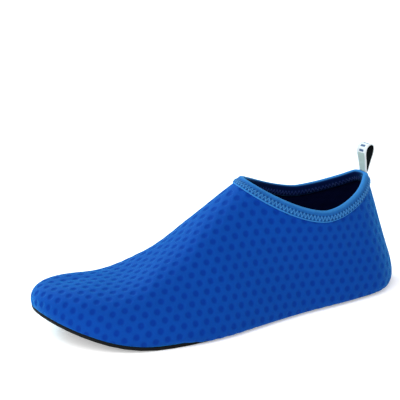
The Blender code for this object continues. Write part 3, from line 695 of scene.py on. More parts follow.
def blotch_group():
    """Soft uneven patches of dye, dust or wear, from 0 to 1."""
    inputs = {"Vector": None, "Size": 0.02, "Contrast": 1.0}
    g, entry, leave = start_group("Soft Patches", inputs, {"Mask": "NodeSocketFloat"})
    scale = g.math("DIVIDE", 1.0, entry["Size"])
    spread = g.noise(entry["Vector"], scale, 4.0, 0.6)
    centred = g.math("MULTIPLY", g.math("SUBTRACT", spread, 0.5), entry["Contrast"])
    g.put(leave["Mask"], g.math("ADD", centred, 0.5, clamp=True))
    return g.tree


def grain_group():
    """Fine grain of moulded rubber or foam: a height and a speckle."""
    inputs = {"Vector": None, "Grain": 0.0006}
    outputs = {"Height": "NodeSocketFloat", "Speckle": "NodeSocketFloat"}
    g, entry, leave = start_group("Moulded Grain", inputs, outputs)
    scale = g.math("DIVIDE", 1.0, entry["Grain"])
    fine = g.noise(entry["Vector"], scale, 2.0, 0.5)
    coarse = g.noise(entry["Vector"], g.math("MULTIPLY", scale, 0.22), 2.0, 0.5)
    g.put(leave["Height"], g.math("ADD", g.math("MULTIPLY", fine, 0.6), g.math("MULTIPLY", coarse, 0.4)))
    g.put(leave["Speckle"], g.ramp(fine, 0.62, 0.72))
    return g.tree


def shared_group(name):
    """The shader group of this name, built on first use."""
    makers = {
        "Dot Lattice": dot_lattice_group,
        "Knit Loops": knit_group,
        "Soft Patches": blotch_group,
        "Moulded Grain": grain_group,
    }
    return bpy.data.node_groups.get(name) or makers[name]()


def start_material(name, roughness, sheen=0.0, sheen_tint=(1, 1, 1), specular=0.5):
    """A material with constants set on its shader; returns it, its graph and the shader's sockets."""
    material = bpy.data.materials.new(name)
    material.use_nodes = True
    g = Graph(material.node_tree)
    sockets = material.node_tree.nodes["Principled BSDF"].inputs
    sockets["Roughness"].default_value = roughness
    sockets["Specular IOR Level"].default_value = specular
    sockets["Sheen Weight"].default_value = sheen
    sockets["Sheen Roughness"].default_value = 0.35
    sockets["Sheen Tint"].default_value = (*sheen_tint, 1)
    return material, g, sockets


def object_place(g):
    return g.add("ShaderNodeTexCoord").outputs["Object"]


def map_place(g, name):
    return g.add("ShaderNodeUVMap", uv_map=name).outputs["UV"]


def set_bump(g, sockets, height, distance):
    bump = g.add("ShaderNodeBump", {"Strength": 1.0, "Distance": distance, "Height": height})
    g.put(sockets["Normal"], bump.outputs["Normal"])


def knit_material(colours, sizes):
    """Stretch knit of the upper: cobalt with darker soft dots over fine loops."""
    material, g, sockets = start_material("stretch_knit", 0.6, 0.6, colours.rim, 0.02)
    flat = map_place(g, "cloth")
    dots = g.group("Dot Lattice", Vector=flat, Pitch=sizes.dot_pitch, Row=sizes.dot_row,
                   Radius=sizes.dot_radius, Softness=sizes.dot_softness)["Mask"]
    knit = g.group("Knit Loops", Vector=flat, Wale=sizes.knit_pitch, Course=sizes.knit_pitch * 0.8)["Height"]
    dyed = g.patches(object_place(g), 0.03, 0.8)
    base = g.mix(dyed, times(colours.cloth, 0.90), times(colours.cloth, 1.10))
    # Painted shade in the hollows between the knit's loops and painted highlight on their crests, on the
    # bump's height
    g.put(sockets["Base Color"], g.shaded(g.mix(dots, base, colours.dots), knit, 0.22, 0.87))
    g.put(sockets["Roughness"], g.math("MULTIPLY_ADD", dots, 0.10, 0.60))
    relief = g.math("SUBTRACT", g.math("MULTIPLY", knit, 0.35), g.math("MULTIPLY", dots, 0.9))
    set_bump(g, sockets, relief, 0.00022)
    return material


def lining_material(colour):
    """Dark brushed lining inside the upper."""
    material, g, sockets = start_material("dark_lining", 0.85, 0.15, (0.05, 0.2, 0.7), 0.05)
    place = object_place(g)
    patches = g.patches(place, 0.012, 1.0)
    g.put(sockets["Base Color"], g.mix(patches, times(colour, 0.7), times(colour, 1.3)))
    set_bump(g, sockets, g.group("Moulded Grain", Vector=place, Grain=0.0009)["Height"], 0.0002)
    return material


# The collar tape: pitch of its ribs and picks, place of its fold over its lower edge, the heights of the
# seam's turns over that edge, how far past them the painted shadow of the needle punctures shows, and their
# radius
TAPE_RIB = 0.00085
TAPE_PICK = 0.0011
TAPE_LEAF = 0.0066
SEAM_LOW = 0.0016
SEAM_HIGH = 0.0046
SEAM_MARGIN = 0.0008
HOLE_RADIUS = 0.0006

# A zigzag seam: the length of one full zigzag and the heights of its turns
Seam = namedtuple("Seam", "pitch low high")


def tape_material(colour, light, dark, seam):
    """Woven elastic of the collar, with painted light: shadow in the seam's needle punctures, highlights
    along both lower edges and the fold, and the inner leaf darkened as shade.
    """
    material, g, sockets = start_material("elastic_tape", 0.6, 0.5, (0.1, 0.5, 1.0), 0.03)
    place = map_place(g, "tape")
    along, across, _ = g.split(place)
    ribs = g.wave(across, TAPE_RIB)
    picks = g.wave(along, TAPE_PICK)
    weave = g.math("MULTIPLY_ADD", g.math("MULTIPLY", ribs, picks), 0.5, 0.5)
    base = g.mix(g.patches(place, 0.003, 2.2), times(colour, 0.75), times(colour, 1.3))
    base = g.mix(g.math("MULTIPLY", weave, 0.22), base, light)
    shifted = g.join(g.math("ADD", along, seam.pitch / 2), g.math("SUBTRACT", across, seam.low))
    # Painted shadow in the seam's needle punctures, in the tape's inner shade colour
    needle_hole_shade = g.group("Dot Lattice", Vector=shifted, Pitch=seam.pitch, Row=seam.high - seam.low,
                    Radius=HOLE_RADIUS, Softness=HOLE_RADIUS / 2)["Mask"]
    sewn = g.ramp(across, seam.high + SEAM_MARGIN, seam.high + SEAM_MARGIN + 0.0003, 1.0, 0.0)
    base = g.mix(g.math("MULTIPLY", g.math("MULTIPLY", needle_hole_shade, sewn), 0.6), base, dark)
    # Painted highlight along the fold at the top of the collar
    fold = g.ramp(across, TAPE_LEAF - 0.0008, TAPE_LEAF + 0.0012)
    base = g.mix(g.math("MULTIPLY", fold, 0.55), base, light)
    # Painted highlight along the outer leaf's lower edge
    lower_edge_highlight = g.ramp(across, 0.0007, 0.0013, 1.0, 0.0)
    base = g.mix(g.math("MULTIPLY", lower_edge_highlight, 0.8), base, light)
    # Painted shade: the inner leaf of the same tape is darkened as if in shadow inside the collar
    base = g.mix(g.ramp(across, TAPE_LEAF + 0.0035, TAPE_LEAF + 0.0050), base, dark)
    # Painted highlight along the inner leaf's lower edge
    inner_edge_highlight = g.ramp(across, 0.0176, 0.0182)
    g.put(sockets["Base Color"], g.mix(g.math("MULTIPLY", inner_edge_highlight, 0.25), base, light))
    relief = g.math("ADD", g.math("MULTIPLY", ribs, 0.4), g.math("MULTIPLY", picks, 0.25))
    set_bump(g, sockets, relief, 0.00012)
    return material


def thread_material(name, colour):
    """Sewing thread with a slight twist."""
    material, g, sockets = start_material(name, 0.5, 0.3, (0.4, 0.7, 1.0), 0.2)
    x, y, z = g.split(object_place(g))
    twist = g.wave(g.math("ADD", g.math("ADD", x, y), z), 0.0005)
    # Painted shade in the grooves of the twist and painted highlight on its ridges
    g.put(sockets["Base Color"], g.shaded(colour, twist, 0.08, 0.92))
    set_bump(g, sockets, twist, 0.00005)
    return material


# The ribbon's face: middle of its width, half widths of the ticks and of the face inside the selvedges, pitch
# of the ticks, how far they reach from the top of the loop, and the soft edge of all these marks
RIBBON_MIDDLE = 0.0045
TICK_HALF = 0.0019
FACE_HALF = 0.0034
TICK_PITCH = 0.0034
TICK_REACH = 0.0080
MARK_SOFTNESS = 0.0004


def ribbon_weave(g):
    """Places along and across the ribbon, and the height of its weave."""
    along, across, _ = g.split(map_place(g, "ribbon"))
    crossing = g.math("MULTIPLY", g.wave(along, 0.00055), g.wave(across, 0.00060))
    return along, across, g.math("MULTIPLY_ADD", crossing, 0.5, 0.5)


def ribbon_material(colours, top):
    """Pale ribbon of the pull loop: white selvedges, short woven ticks by its top, black inside."""
    material, g, sockets = start_material("pale_ribbon", 0.6, 0.1, (1, 1, 1), 0.15)
    along, across, weave = ribbon_weave(g)
    off_middle = g.math("ABSOLUTE", g.math("SUBTRACT", across, RIBBON_MIDDLE))
    in_band = g.ramp(off_middle, TICK_HALF, TICK_HALF + MARK_SOFTNESS, 1.0, 0.0)
    tick = g.math("ABSOLUTE", g.math("SUBTRACT", g.math("FRACT", g.math("DIVIDE", along, TICK_PITCH)), 0.5))
    ticks = g.math("MULTIPLY", g.ramp(tick, 0.20, 0.26, 1.0, 0.0), in_band)
    off_top = g.math("ABSOLUTE", g.math("SUBTRACT", along, top))
    near_top = g.ramp(off_top, TICK_REACH, TICK_REACH + MARK_SOFTNESS, 1.0, 0.0)
    face = g.mix(near_top, colours.ribbon, colours.ribbon_edge)
    base = g.mix(g.math("MULTIPLY", ticks, near_top), face, colours.ribbon_mark)
    base = g.mix(g.ramp(off_middle, FACE_HALF, FACE_HALF + 0.0003), base, colours.ribbon_edge)
    # Painted shade in the weave's hollows and painted highlight on its crossings
    g.put(sockets["Base Color"], g.shaded(base, weave, 0.14, 0.89))
    set_bump(g, sockets, weave, 0.0001)
    back, g, sockets = start_material("black_ribbon_back", 0.8, 0.0, (1, 1, 1), 0.05)
    weave = ribbon_weave(g)[2]
    black = colours.ribbon_inside
    # Painted shade and highlight of the weave: darker in its hollows, lighter on its crossings
    g.put(sockets["Base Color"], g.mix(weave, times(black, 0.6), times(black, 1.5)))
    set_bump(g, sockets, weave, 0.0001)
    return material, back


def rubber_material(colour, worn):
    """Moulded rubber of the sole: fine grain and duller, dusty patches."""
    material, g, sockets = start_material("moulded_rubber", 0.58, 0.0, (1, 1, 1), 0.05)
    place = object_place(g)
    grain = g.group("Moulded Grain", Vector=place, Grain=0.0007)
    patches = g.patches(place, 0.018, 1.3)
    base = g.mix(g.math("MULTIPLY", patches, 0.55), colour, worn)
    base = g.mix(g.math("MULTIPLY", grain["Speckle"], 0.25), base, times(worn, 1.6))
    g.put(sockets["Base Color"], base)
    g.put(sockets["Roughness"], g.math("MULTIPLY_ADD", patches, 0.18, 0.47))
    set_bump(g, sockets, grain["Height"], 0.00012)
    return material


def footbed_material(colour, light):
    """Brushed knit over the foam footbed."""
    material, g, sockets = start_material("footbed_cloth", 0.8, 0.2, (0.1, 0.3, 0.9), 0.1)
    place = object_place(g)
    knit = g.group("Knit Loops", Vector=place, Wale=0.0016, Course=0.0013)["Height"]
    base = g.mix(g.patches(place, 0.02, 1.0), colour, times(colour, 1.4))
    # Painted highlight: the loop crests are lifted towards lighter cobalt by the knit's height
    g.put(sockets["Base Color"], g.mix(g.math("MULTIPLY", knit, 0.35), base, light))
    set_bump(g, sockets, knit, 0.00022)
    return material


def show_on_shoe(piece, node):
    """Rides on the shoe in place of a node, which it hides."""
    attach(piece, BODY)
    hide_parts(node)


def solidify(piece, name, thickness):
    """Gives a sheet its thickness, inwards from its face."""
    wall = piece.modifiers.new(name, "SOLIDIFY")
    wall.thickness = thickness
    wall.offset = -1
    return wall


# A dimple's edge as shares of its dot's radius, and the rows by the foot over which dimples fade out
DIMPLE_EDGE = (0.4, 1.25)
DIMPLE_FADE_ROWS = 3


def build_upper(sizes, colours):
    """Knit shell over the last: one hollow sheet with shallow dimples at its dots and a dark lining."""
    flange = len(FLANGE_INSETS)
    table = cloth_table(REAR_COLUMNS // COARSE, FRONT_COLUMNS // COARSE, WALL_ROWS // COARSE)
    bm = last_sheet(REAR_COLUMNS, FRONT_COLUMNS, WALL_ROWS, FLANGE_INSETS)
    bmesh.ops.remove_doubles(bm, verts=[v for v in bm.verts if v.is_boundary], dist=5e-5)
    bm.loops.layers.uv.new("cloth")
    upper = finished("upper_knit", bm, [knit_material(colours, sizes), lining_material(colours.lining)], 70)
    mesh = upper.data
    sides = np.array([p.material_index for p in mesh.polygons])
    side_of_loop = np.repeat(sides, [p.loop_total for p in mesh.polygons])
    places = loop_uvs(mesh, "place")
    rows = (places[:, 1] - flange) / WALL_ROWS * (WALL_ROWS // COARSE)
    flat = table_lookup(table, side_of_loop, places[:, 0] / COARSE, rows)
    mesh.uv_layers["cloth"].uv.foreach_set("vector", flat.astype(np.float32).ravel())
    vertex_of_loop = np.zeros(len(mesh.loops), np.int32)
    mesh.loops.foreach_get("vertex_index", vertex_of_loop)
    depth = np.zeros(len(mesh.vertices))
    distance = dot_distance(flat, sizes.dot_pitch, sizes.dot_row)
    dimple = 1 - ease(*(sizes.dot_radius * share for share in DIMPLE_EDGE), distance)
    depth[vertex_of_loop] = dimple * ease(0, DIMPLE_FADE_ROWS, places[:, 1] - flange)
    co = np.zeros(len(mesh.vertices) * 3)
    normals = np.zeros(len(mesh.vertices) * 3)
    mesh.vertices.foreach_get("co", co)
    mesh.vertex_normals.foreach_get("vector", normals)
    co = co.reshape(-1, 3) - normals.reshape(-1, 3) * (depth * sizes.dimple_depth)[:, None]
    mesh.vertices.foreach_set("co", co.ravel())
    for polygon in mesh.polygons:
        polygon.material_index = 0
    mesh.uv_layers.remove(mesh.uv_layers["place"])
    solidify(upper, "wall", UPPER_WALL).material_offset = 1
    show_on_shoe(upper, "upper")


def smooth_round(rows, times):
    """Evens a closed run of points or ways."""
    for _ in range(times):
        rows = (np.roll(rows, 1, 0) + 2 * rows + np.roll(rows, -1, 0)) / 4
    return rows


def collar_frames(count):
    """Closed run of points on the collar edge, with the ways out of the wall and down along it."""
    points, outs, downs = [], [], []
    for side in (1, -1):
        here, up, out = wall_ways(*collar_cut(side, count + 1), side)
        rows = slice(0, count + 1) if side == 1 else slice(count - 1, 0, -1)
        points.append(here[rows])
        outs.append(out[rows])
        downs.append(-unit(up)[rows])
    points, outs, downs = (np.vstack(part)[::-1] for part in (points, outs, downs))
    points = smooth_round(points, 2)
    outs = unit(smooth_round(outs, 6))
    run = unit(np.roll(points, -1, 0) - np.roll(points, 1, 0))
    outs = unit(outs - run * (outs * run).sum(1, keepdims=True))
    across = np.cross(outs, run)
    across *= np.sign((across * downs).sum(1, keepdims=True))
    return in_frame(points), outs, across


# Grid of the tape: columns round each half of the collar, rows down each leaf and how they crowd at the fold,
# rows over the fold, and rounds of evening for the outer and the inner leaf
COLLAR_COLUMNS = 140
LEAF_ROWS = 12
LEAF_CROWDING = 1.3
FOLD_ROWS = 9
LEAF_ROUNDS = {1: 3, -1: 10}

# Share of the tape's thickness that shows and rounds its lower edge, and the fold's height as a share of
# its half width
TAPE_EDGE = 0.9
FOLD_HEIGHT = 0.85


def tape_sheet():
    """Points of the tape's face: columns round the collar and closed, rows from outer to inner lower edge."""
    tree_mesh = last_sheet(REAR_COLUMNS, FRONT_COLUMNS, WALL_ROWS)
    tree = BVHTree.FromBMesh(tree_mesh)
    tree_mesh.free()
    points, outs, downs = collar_frames(COLLAR_COLUMNS)
    far = CLEARANCE + BINDING_TAPE
    half = UPPER_WALL / 2 + far
    edge_round = BINDING_TAPE * TAPE_EDGE
    depths = BINDING_WIDTH * np.linspace(1, 0, LEAF_ROWS) ** LEAF_CROWDING
    leaves = []
    for face, order in ((1, depths), (-1, depths[::-1])):
        leaf = []
        for depth in order:
            past = max(0, depth - BINDING_WIDTH + edge_round) / edge_round
            height = CLEARANCE + BINDING_TAPE * (1 - past**2) ** 0.5
            row = []
            for point, out, down in zip(points, outs, downs):
                spot, normal = tree.find_nearest(Vector(point + down * depth))[:2]
                normal = np.array(normal)
                if normal @ out < 0:
                    normal = -normal
                normal = unit(normal + out * max(0, 1 - depth / BINDING_WIDTH * 2))
                offset = height if face == 1 else -(UPPER_WALL + height)
                row.append(np.array(spot) + normal * offset)
            leaf.append(smooth_round(np.array(row), LEAF_ROUNDS[face]))
        leaves.append(leaf)
    centre = points - outs * UPPER_WALL / 2
    fold = []
    for angle in np.linspace(0, pi, FOLD_ROWS + 2)[1:-1]:
        fold.append(centre + outs * half * cos(angle) - downs * half * sin(angle) * FOLD_HEIGHT)
    sheet = np.stack(leaves[0] + fold + leaves[1], 1)
    return np.concatenate([sheet, sheet[:1]])


def sheet_lengths(sheet):
    """Run along the columns of the tape at its fold, and mean run across its rows."""
    across = np.linalg.norm(np.diff(sheet[:-1], axis=1), axis=2).mean(0)
    along = np.linalg.norm(np.diff(sheet[:, LEAF_ROWS], axis=0), axis=1)
    return running(along), running(across)


def sheet_mesh(name, sheet, along, across, uv_name, materials):
    """A sheet of points as a mesh, closed along its columns where they return to the first."""
    bm = bmesh.new()
    columns, rows = sheet.shape[0] - 1, sheet.shape[1] - 1
    verts, numbers = grid_sheet(bm, columns, rows, uv_name)
    move_to(verts, sheet[numbers[:, 0], numbers[:, 1]])
    layer = bm.loops.layers.uv[uv_name]
    for face in bm.faces:
        for loop in face.loops:
            column, row = (int(round(n)) for n in loop[layer].uv)
            loop[layer].uv = (along[column], across[row])
    bmesh.ops.remove_doubles(bm, verts=bm.verts, dist=1e-6)
    return finished(name, bm, materials, 60)


def sheet_spot(sheet, along, place, row):
    """Point on a closed sheet at a run along it and a fractional row, and the way out of the sheet."""
    column = np.interp(place % along[-1], along, np.arange(len(along))) % (len(sheet) - 1)
    left, under = int(column), int(row)
    past, over = column - left, row - under
    corner, ahead, above = sheet[left, under], sheet[left + 1, under], sheet[left, under + 1]
    low = corner * (1 - past) + ahead * past
    high = above * (1 - past) + sheet[left + 1, under + 1] * past
    return low * (1 - over) + high * over, unit(np.cross(ahead - corner, above - corner))


# Height of a stitch over the tape at five places along it, as shares of the thread's radius
STITCH_ARCH = (-0.7, 0.6, 0.85, 0.6, -0.7)


def zigzag(name, sheet, along, across, seam, radius, material):
    """Zigzag seam: separate short threads that dip into the tape at both ends."""
    curve = bpy.data.curves.new(name, "CURVE")
    curve.dimensions = "3D"
    curve.bevel_depth = radius
    curve.bevel_resolution = 1
    curve.use_fill_caps = True
    rows = np.interp((seam.low, seam.high), across, np.arange(len(across)))
    half = seam.pitch / 2
    for i in range(round(along[-1] / half)):
        spline = curve.splines.new("POLY")
        spline.points.add(len(STITCH_ARCH) - 1)
        for k, height in enumerate(STITCH_ARCH):
            t = k / (len(STITCH_ARCH) - 1)
            row = rows[i % 2] * (1 - t) + rows[(i + 1) % 2] * t
            spot, out = sheet_spot(sheet, along, (i + t) * half, row)
            spline.points[k].co = (*(spot + out * radius * height), 1)
    thread = bpy.data.objects.new(name, curve)
    bpy.context.scene.collection.objects.link(thread)
    mesh = bpy.data.meshes.new_from_object(thread)
    bpy.data.objects.remove(thread)
    mesh.name = name
    mesh.materials.clear()
    mesh.materials.append(material)
    mesh.shade_smooth()
    piece = bpy.data.objects.new(name, mesh)
    bpy.context.scene.collection.objects.link(piece)
    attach(piece, BODY)


def build_binding(sizes, colours):
    """Elastic tape folded over the collar, sewn down by a zigzag on both leaves."""
    sheet = tape_sheet()
    along, across = sheet_lengths(sheet)
    pitch = along[-1] / round(along[-1] / sizes.zigzag_pitch)
    outside = Seam(pitch, SEAM_LOW, SEAM_HIGH)
    inside = Seam(pitch, across[-1] - SEAM_LOW, across[-1] - SEAM_HIGH)
    tape = tape_material(colours.tape, colours.tape_highlight_and_thread, colours.tape_inner_shade, outside)
    binding = sheet_mesh("collar_tape", sheet, along, across, "tape", [tape])
    solidify(binding, "tape", BINDING_TAPE * TAPE_EDGE)
    show_on_shoe(binding, "collar_binding")
    light = thread_material("pale_thread", colours.tape_highlight_and_thread)
    zigzag("collar_seam_outside", sheet, along, across, outside, sizes.thread_radius, light)
    # Painted shade: the inner seam's thread, coloured from the tape's painted inner shade
    inner_thread_in_shade = thread_material("deep_blue_thread", times(colours.tape_inner_shade, 2.5))
    zigzag("collar_seam_inside", sheet, along, across, inside, sizes.thread_radius, inner_thread_in_shade)


# The footbed: foam thickness, clearance over the turned-in edge, grid, and the share of the foam that is
# rolled and shows
INSOLE_THICKNESS = 0.0030
INSOLE_SEAT = 0.0002
INSOLE_GRID = (120, 40)
INSOLE_ROLL = 0.8


def build_insole(colours):
    """Foam footbed with a rolled edge, cut a little smaller than the sole."""
    columns, rows = INSOLE_GRID
    bm = bmesh.new()
    verts, numbers = grid_sheet(bm, columns, rows)
    u = numbers[:, 0] / columns
    across = numbers[:, 1] / rows * 2 - 1
    outer = edge_point(u, 1, INSOLE_INSET, 0)
    inner = edge_point(u, -1, INSOLE_INSET, 0)
    share = (np.sin(across * pi / 2) + 1) / 2
    plan = inner * (1 - share[:, None]) + outer * share[:, None]
    inward = np.minimum(np.linalg.norm(plan - outer, axis=1), np.linalg.norm(plan - inner, axis=1))
    ends = np.minimum(plan[:, 0] - outer[:, 0].min(), outer[:, 0].max() - plan[:, 0])
    inward = np.minimum(inward, np.maximum(ends, 0))
    rolled = 1 - (1 - np.clip(inward / (INSOLE_THICKNESS * INSOLE_ROLL), 0, 1)) ** 2
    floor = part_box("insole")[0].z + INSOLE_SEAT + UPPER_WALL + CLEARANCE
    height = floor + INSOLE_THICKNESS * (0.45 + 0.5 * rolled)
    points = np.stack([plan[:, 0], plan[:, 1], height + lift(plan[:, 0], plan[:, 1])], 1)
    move_to(verts, in_frame(points))
    bmesh.ops.remove_doubles(bm, verts=bm.verts, dist=1e-6)
    bmesh.ops.recalc_face_normals(bm, faces=bm.faces)
    insole = finished("footbed", bm, [footbed_material(colours.footbed, colours.cloth)], 60)
    if insole.data.polygons[len(insole.data.polygons) // 2].normal.z < 0:
        insole.data.flip_normals()
    solidify(insole, "foam", INSOLE_THICKNESS * INSOLE_ROLL)
    show_on_shoe(insole, "insole")


# The pull loop: ribbon thickness, lean backwards, width over its legs, heights of two places on the legs as
# shares of the loop's, its height as a share of the solid's, its turn at the top, and its grid
RIBBON = 0.0009
LOOP_LEAN = 0.10
LOOP_SPREAD = 0.0078
LOOP_LEGS = (0.38, 0.72)
LOOP_SETTLED = 0.9
LOOP_TWIST = radians(20)
LOOP_STEPS = 90
LOOP_ROWS = 14


def loop_path():
    """Outer face of the ribbon seen from the side, foot to foot: even points (x, z) and their run."""
    tall = (LOOP_HIGH.z - LOOP_LOW.z) * LOOP_SETTLED
    spread = LOOP_SPREAD / 2
    top = tall - spread
    leg = [(RIBBON, 0), ((RIBBON + spread) / 2, LOOP_LEGS[0] * tall), (spread, LOOP_LEGS[1] * tall)]
    arc = [(spread * cos(a), top + spread * sin(a)) for a in np.linspace(0, pi, 13)]
    rough = np.array(leg + arc + [(-x, z) for x, z in reversed(leg)])
    run = running(np.hypot(*np.diff(rough, axis=0).T))
    even = np.linspace(0, run[-1], LOOP_STEPS + 1)
    return np.stack([smooth(run, rough[:, 0], even), smooth(run, rough[:, 1], even)], 1), even


def build_loop(colours):
    """Ribbon folded to a standing loop, leaning to the heel and turned more towards its top."""
    path, run = loop_path()
    lean = -LOOP_LEAN * path[:, 1:]
    turn = LOOP_TWIST * (0.25 + 0.75 * path[:, 1:] / path[:, 1].max())
    base = LOOP_LOW.x - (path[:, :1] + lean).min()
    width = LOOP_HIGH.y - LOOP_LOW.y
    across = np.linspace(0, width, LOOP_ROWS + 1)
    off_x = path[:, :1]
    off_y = across - width / 2
    sheet = np.zeros((LOOP_STEPS + 1, LOOP_ROWS + 1, 3))
    sheet[..., 0] = base + lean + off_x * np.cos(turn) - off_y * np.sin(turn)
    sheet[..., 1] = LOOP_LOW.y + width / 2 + off_x * np.sin(turn) + off_y * np.cos(turn)
    sheet[..., 2] = LOOP_LOW.z + path[:, 1:]
    loop = sheet_mesh("heel_loop", sheet, run, across, "ribbon", ribbon_material(colours, run[-1] / 2))
    if loop.data.polygons[0].normal.x < 0:
        loop.data.flip_normals()
    wall = solidify(loop, "ribbon", RIBBON * 0.85)
    wall.material_offset = 1
    wall.material_offset_rim = 0
    show_on_shoe(loop, "pull_loop")


def build_outsole(sizes, colours):
    """Moulded sole: the solid's own tread with every arris rounded as a mould leaves it."""
    bm = bmesh.new()
    bm.from_mesh(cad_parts["outsole"].data)
    bmesh.ops.remove_doubles(bm, verts=bm.verts, dist=1e-6)
    sharp = [e for e in bm.edges if len(e.link_faces) == 2 and e.calc_face_angle() > radians(38)]
    bmesh.ops.bevel(bm, geom=sharp, offset=sizes.arris, offset_type="OFFSET", segments=2, profile=0.5,
                    affect="EDGES", material=-1, clamp_overlap=True)
    outsole = finished("rubber_sole", bm, [rubber_material(colours.rubber, colours.rubber_dust)], 35)
    show_on_shoe(outsole, "outsole")


def area_light(name, location, size, energy, colour):
    """A rectangular lamp that faces the shoe."""
    light = bpy.data.lights.new(name, "AREA")
    light.shape = "RECTANGLE"
    light.size = size[0]
    light.size_y = size[1]
    light.energy = energy
    light.color = colour
    obj = bpy.data.objects.new(name, light)
    bpy.context.scene.collection.objects.link(obj)
    obj.location = location
    obj.rotation_euler = (Vector(LAMP_AIM) - Vector(location)).to_track_quat("-Z", "Y").to_euler()


# The stage: half the floor's side, the floor's own glow, the sky's strength, and the point the lamps aim at
FLOOR_HALF = 6
FLOOR_GLOW = 0.4
SKY = 0.57
LAMP_AIM = (0, 0, 0.04)


def build_stage(colours):
    """Pale floor, soft studio light and the camera at the photograph's angle."""
    bm = bmesh.new()
    bmesh.ops.create_grid(bm, x_segments=8, y_segments=8, size=FLOOR_HALF)
    floor, g, sockets = start_material("pale_floor", 0.9, specular=0.0)
    patches = g.patches(object_place(g), 0.5, 0.2)
    g.put(sockets["Base Color"], g.mix(patches, times(colours.floor, 0.985), colours.floor))
    sockets["Emission Color"].default_value = (1, 1, 1, 1)
    sockets["Emission Strength"].default_value = FLOOR_GLOW
    finished("floor", bm, [floor])
    world = bpy.data.worlds.new("studio")
    bpy.context.scene.world = world
    world.use_nodes = True
    sky = world.node_tree.nodes["Background"].inputs
    sky["Color"].default_value = (1, 1, 1, 1)
    sky["Strength"].default_value = SKY
    area_light("key", (0.9, 0.7, 1.3), (1.4, 1.4), 20, (1, 1, 1))
    area_light("rim", (0.45, -1.1, 0.75), (0.9, 0.4), 20, (0.5, 0.85, 1))
    camera = bpy.data.cameras.new("photo_view")
    camera.lens = VIEW_LENS
    camera.sensor_width = 36
    camera.shift_x, camera.shift_y = VIEW_SHIFT
    camera.clip_start = 0.05
    back = Vector((sin(VIEW_TURN) * cos(VIEW_TILT), -cos(VIEW_TURN) * cos(VIEW_TILT), sin(VIEW_TILT)))
    right = Vector((0, 0, 1)).cross(back).normalized()
    turn = Matrix((right, back.cross(right), back)).transposed().to_4x4()
    view = bpy.data.objects.new("photo_view", camera)
    view.matrix_world = Matrix.Translation(Vector(in_frame(VIEW_AIM)) + back * VIEW_DISTANCE) @ turn
    view.matrix_world = view.matrix_world @ Matrix.Rotation(VIEW_ROLL, 4, "Z")
    bpy.context.scene.collection.objects.link(view)
    bpy.context.scene.camera = view
    bpy.context.scene.view_settings.view_transform = "Standard"


def length(name, description, default):
    return FloatProperty(name=name, description=description, default=default, min=0, unit="LENGTH",
                         precision=5)


def colour(name, description, default):
    return FloatVectorProperty(name=name, description=description, default=default, subtype="COLOR",
                               min=0, max=1)


class WaterShoeSizes(bpy.types.PropertyGroup):
    dot_pitch: length("Dot pitch", "Distance between dots along a row", 0.0078)
    dot_row: length("Row step", "Distance between rows of dots", 0.0059)
    dot_radius: length("Dot radius", "Radius of a dot on the flat knit", 0.0020)
    dot_softness: length("Dot softness", "Half the width of a dot's soft edge", 0.0008)
    dimple_depth: length("Dimple depth", "How far a dot sinks into the knit", 0.00032)
    knit_pitch: length("Knit pitch", "Width of a column of knitted loops", 0.0009)
    zigzag_pitch: length("Zigzag pitch", "Length of one full zigzag of the collar seam", 0.0025)
    thread_radius: length("Thread radius", "Radius of the sewing thread", 0.00024)
    arris: length("Arris round", "Rounding of the sole's moulded edges", 0.0002)


class WaterShoeColours(bpy.types.PropertyGroup):
    cloth: colour("Knit", "Cobalt of the knit", (0.0030, 0.056, 0.34))
    dots: colour("Dots", "Darker dots of the knit", (0.0020, 0.034, 0.28))
    rim: colour("Sheen", "Tint of the fibres seen edge on", (0.04, 0.55, 1.0))
    lining: colour("Lining", "Dark inside of the upper", (0.0004, 0.0022, 0.024))
    tape: colour("Tape", "Elastic tape of the collar", (0.008, 0.080, 0.30))
    # Painted highlight on the tape's fold and lower edges; also the real colour of the pale thread and the
    # weave's lighter threads
    tape_highlight_and_thread: colour("Tape line", "Lighter edge and thread of the tape", (0.045, 0.25, 0.60))
    # Painted shade of the tape's inner leaf, its needle punctures and the inner seam's thread
    tape_inner_shade: colour("Tape inside", "Inner leaf of the tape", (0.0008, 0.007, 0.06))
    footbed: colour("Footbed", "Cloth of the footbed", (0.004, 0.010, 0.05))
    ribbon: colour("Ribbon", "Outer face of the pull loop", (0.42, 0.52, 0.49))
    ribbon_edge: colour("Ribbon edge", "White selvedge of the pull loop", (0.75, 0.78, 0.80))
    ribbon_mark: colour("Ribbon ticks", "Woven ticks on the pull loop", (0.06, 0.11, 0.22))
    ribbon_inside: colour("Ribbon back", "Black back of the pull loop", (0.0012, 0.0012, 0.0016))
    rubber: colour("Rubber", "Moulded rubber of the sole", (0.005, 0.005, 0.006))
    rubber_dust: colour("Rubber dust", "Paler, dusty rubber", (0.014, 0.014, 0.013))
    floor: colour("Floor", "Pale studio floor", (0.93, 0.93, 0.93))


class SHOE_OT_upper(bpy.types.Operator):
    """Build the dotted knit upper with its lining"""
    bl_idname = "water_shoe.upper"
    bl_label = "Knit upper"

    def execute(self, context):
        build_upper(context.scene.water_shoe_sizes, context.scene.water_shoe_colours)
        return {"FINISHED"}


class SHOE_OT_binding(bpy.types.Operator):
    """Build the folded collar tape and its zigzag seams"""
    bl_idname = "water_shoe.binding"
    bl_label = "Collar tape"

    def execute(self, context):
        build_binding(context.scene.water_shoe_sizes, context.scene.water_shoe_colours)
        return {"FINISHED"}


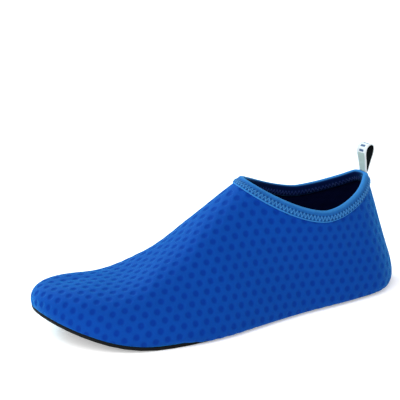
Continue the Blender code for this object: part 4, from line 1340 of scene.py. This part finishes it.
class SHOE_OT_footbed(bpy.types.Operator):
    """Build the foam footbed"""
    bl_idname = "water_shoe.footbed"
    bl_label = "Footbed"

    def execute(self, context):
        build_insole(context.scene.water_shoe_colours)
        return {"FINISHED"}


class SHOE_OT_loop(bpy.types.Operator):
    """Build the ribbon pull loop at the heel"""
    bl_idname = "water_shoe.loop"
    bl_label = "Pull loop"

    def execute(self, context):
        build_loop(context.scene.water_shoe_colours)
        return {"FINISHED"}


class SHOE_OT_sole(bpy.types.Operator):
    """Build the moulded rubber sole"""
    bl_idname = "water_shoe.sole"
    bl_label = "Rubber sole"

    def execute(self, context):
        build_outsole(context.scene.water_shoe_sizes, context.scene.water_shoe_colours)
        return {"FINISHED"}


class SHOE_OT_stage(bpy.types.Operator):
    """Build the floor, the lights and the camera"""
    bl_idname = "water_shoe.stage"
    bl_label = "Studio stage"

    def execute(self, context):
        build_stage(context.scene.water_shoe_colours)
        return {"FINISHED"}


OPERATORS = (SHOE_OT_upper, SHOE_OT_binding, SHOE_OT_footbed, SHOE_OT_loop, SHOE_OT_sole, SHOE_OT_stage)


class SHOE_PT_panel(bpy.types.Panel):
    """Sizes, colours and pieces of the water shoe"""
    bl_idname = "SHOE_PT_panel"
    bl_label = "Water Shoe"
    bl_space_type = "VIEW_3D"
    bl_region_type = "UI"
    bl_category = "Water Shoe"

    def draw(self, context):
        for group in (context.scene.water_shoe_sizes, context.scene.water_shoe_colours):
            column = self.layout.column(align=True)
            for name in group.__annotations__:
                column.prop(group, name)
        for operator in OPERATORS:
            self.layout.operator(operator.bl_idname)


CLASSES = (WaterShoeSizes, WaterShoeColours, *OPERATORS, SHOE_PT_panel)


def register():
    for cls in CLASSES:
        bpy.utils.register_class(cls)
    bpy.types.Scene.water_shoe_sizes = PointerProperty(type=WaterShoeSizes)
    bpy.types.Scene.water_shoe_colours = PointerProperty(type=WaterShoeColours)


def unregister():
    del bpy.types.Scene.water_shoe_sizes
    del bpy.types.Scene.water_shoe_colours
    for cls in reversed(CLASSES):
        bpy.utils.unregister_class(cls)


def main():
    register()
    for operator in OPERATORS:
        getattr(bpy.ops.water_shoe, operator.bl_idname.split(".")[1])()


if __name__ == "__main__":
    main()
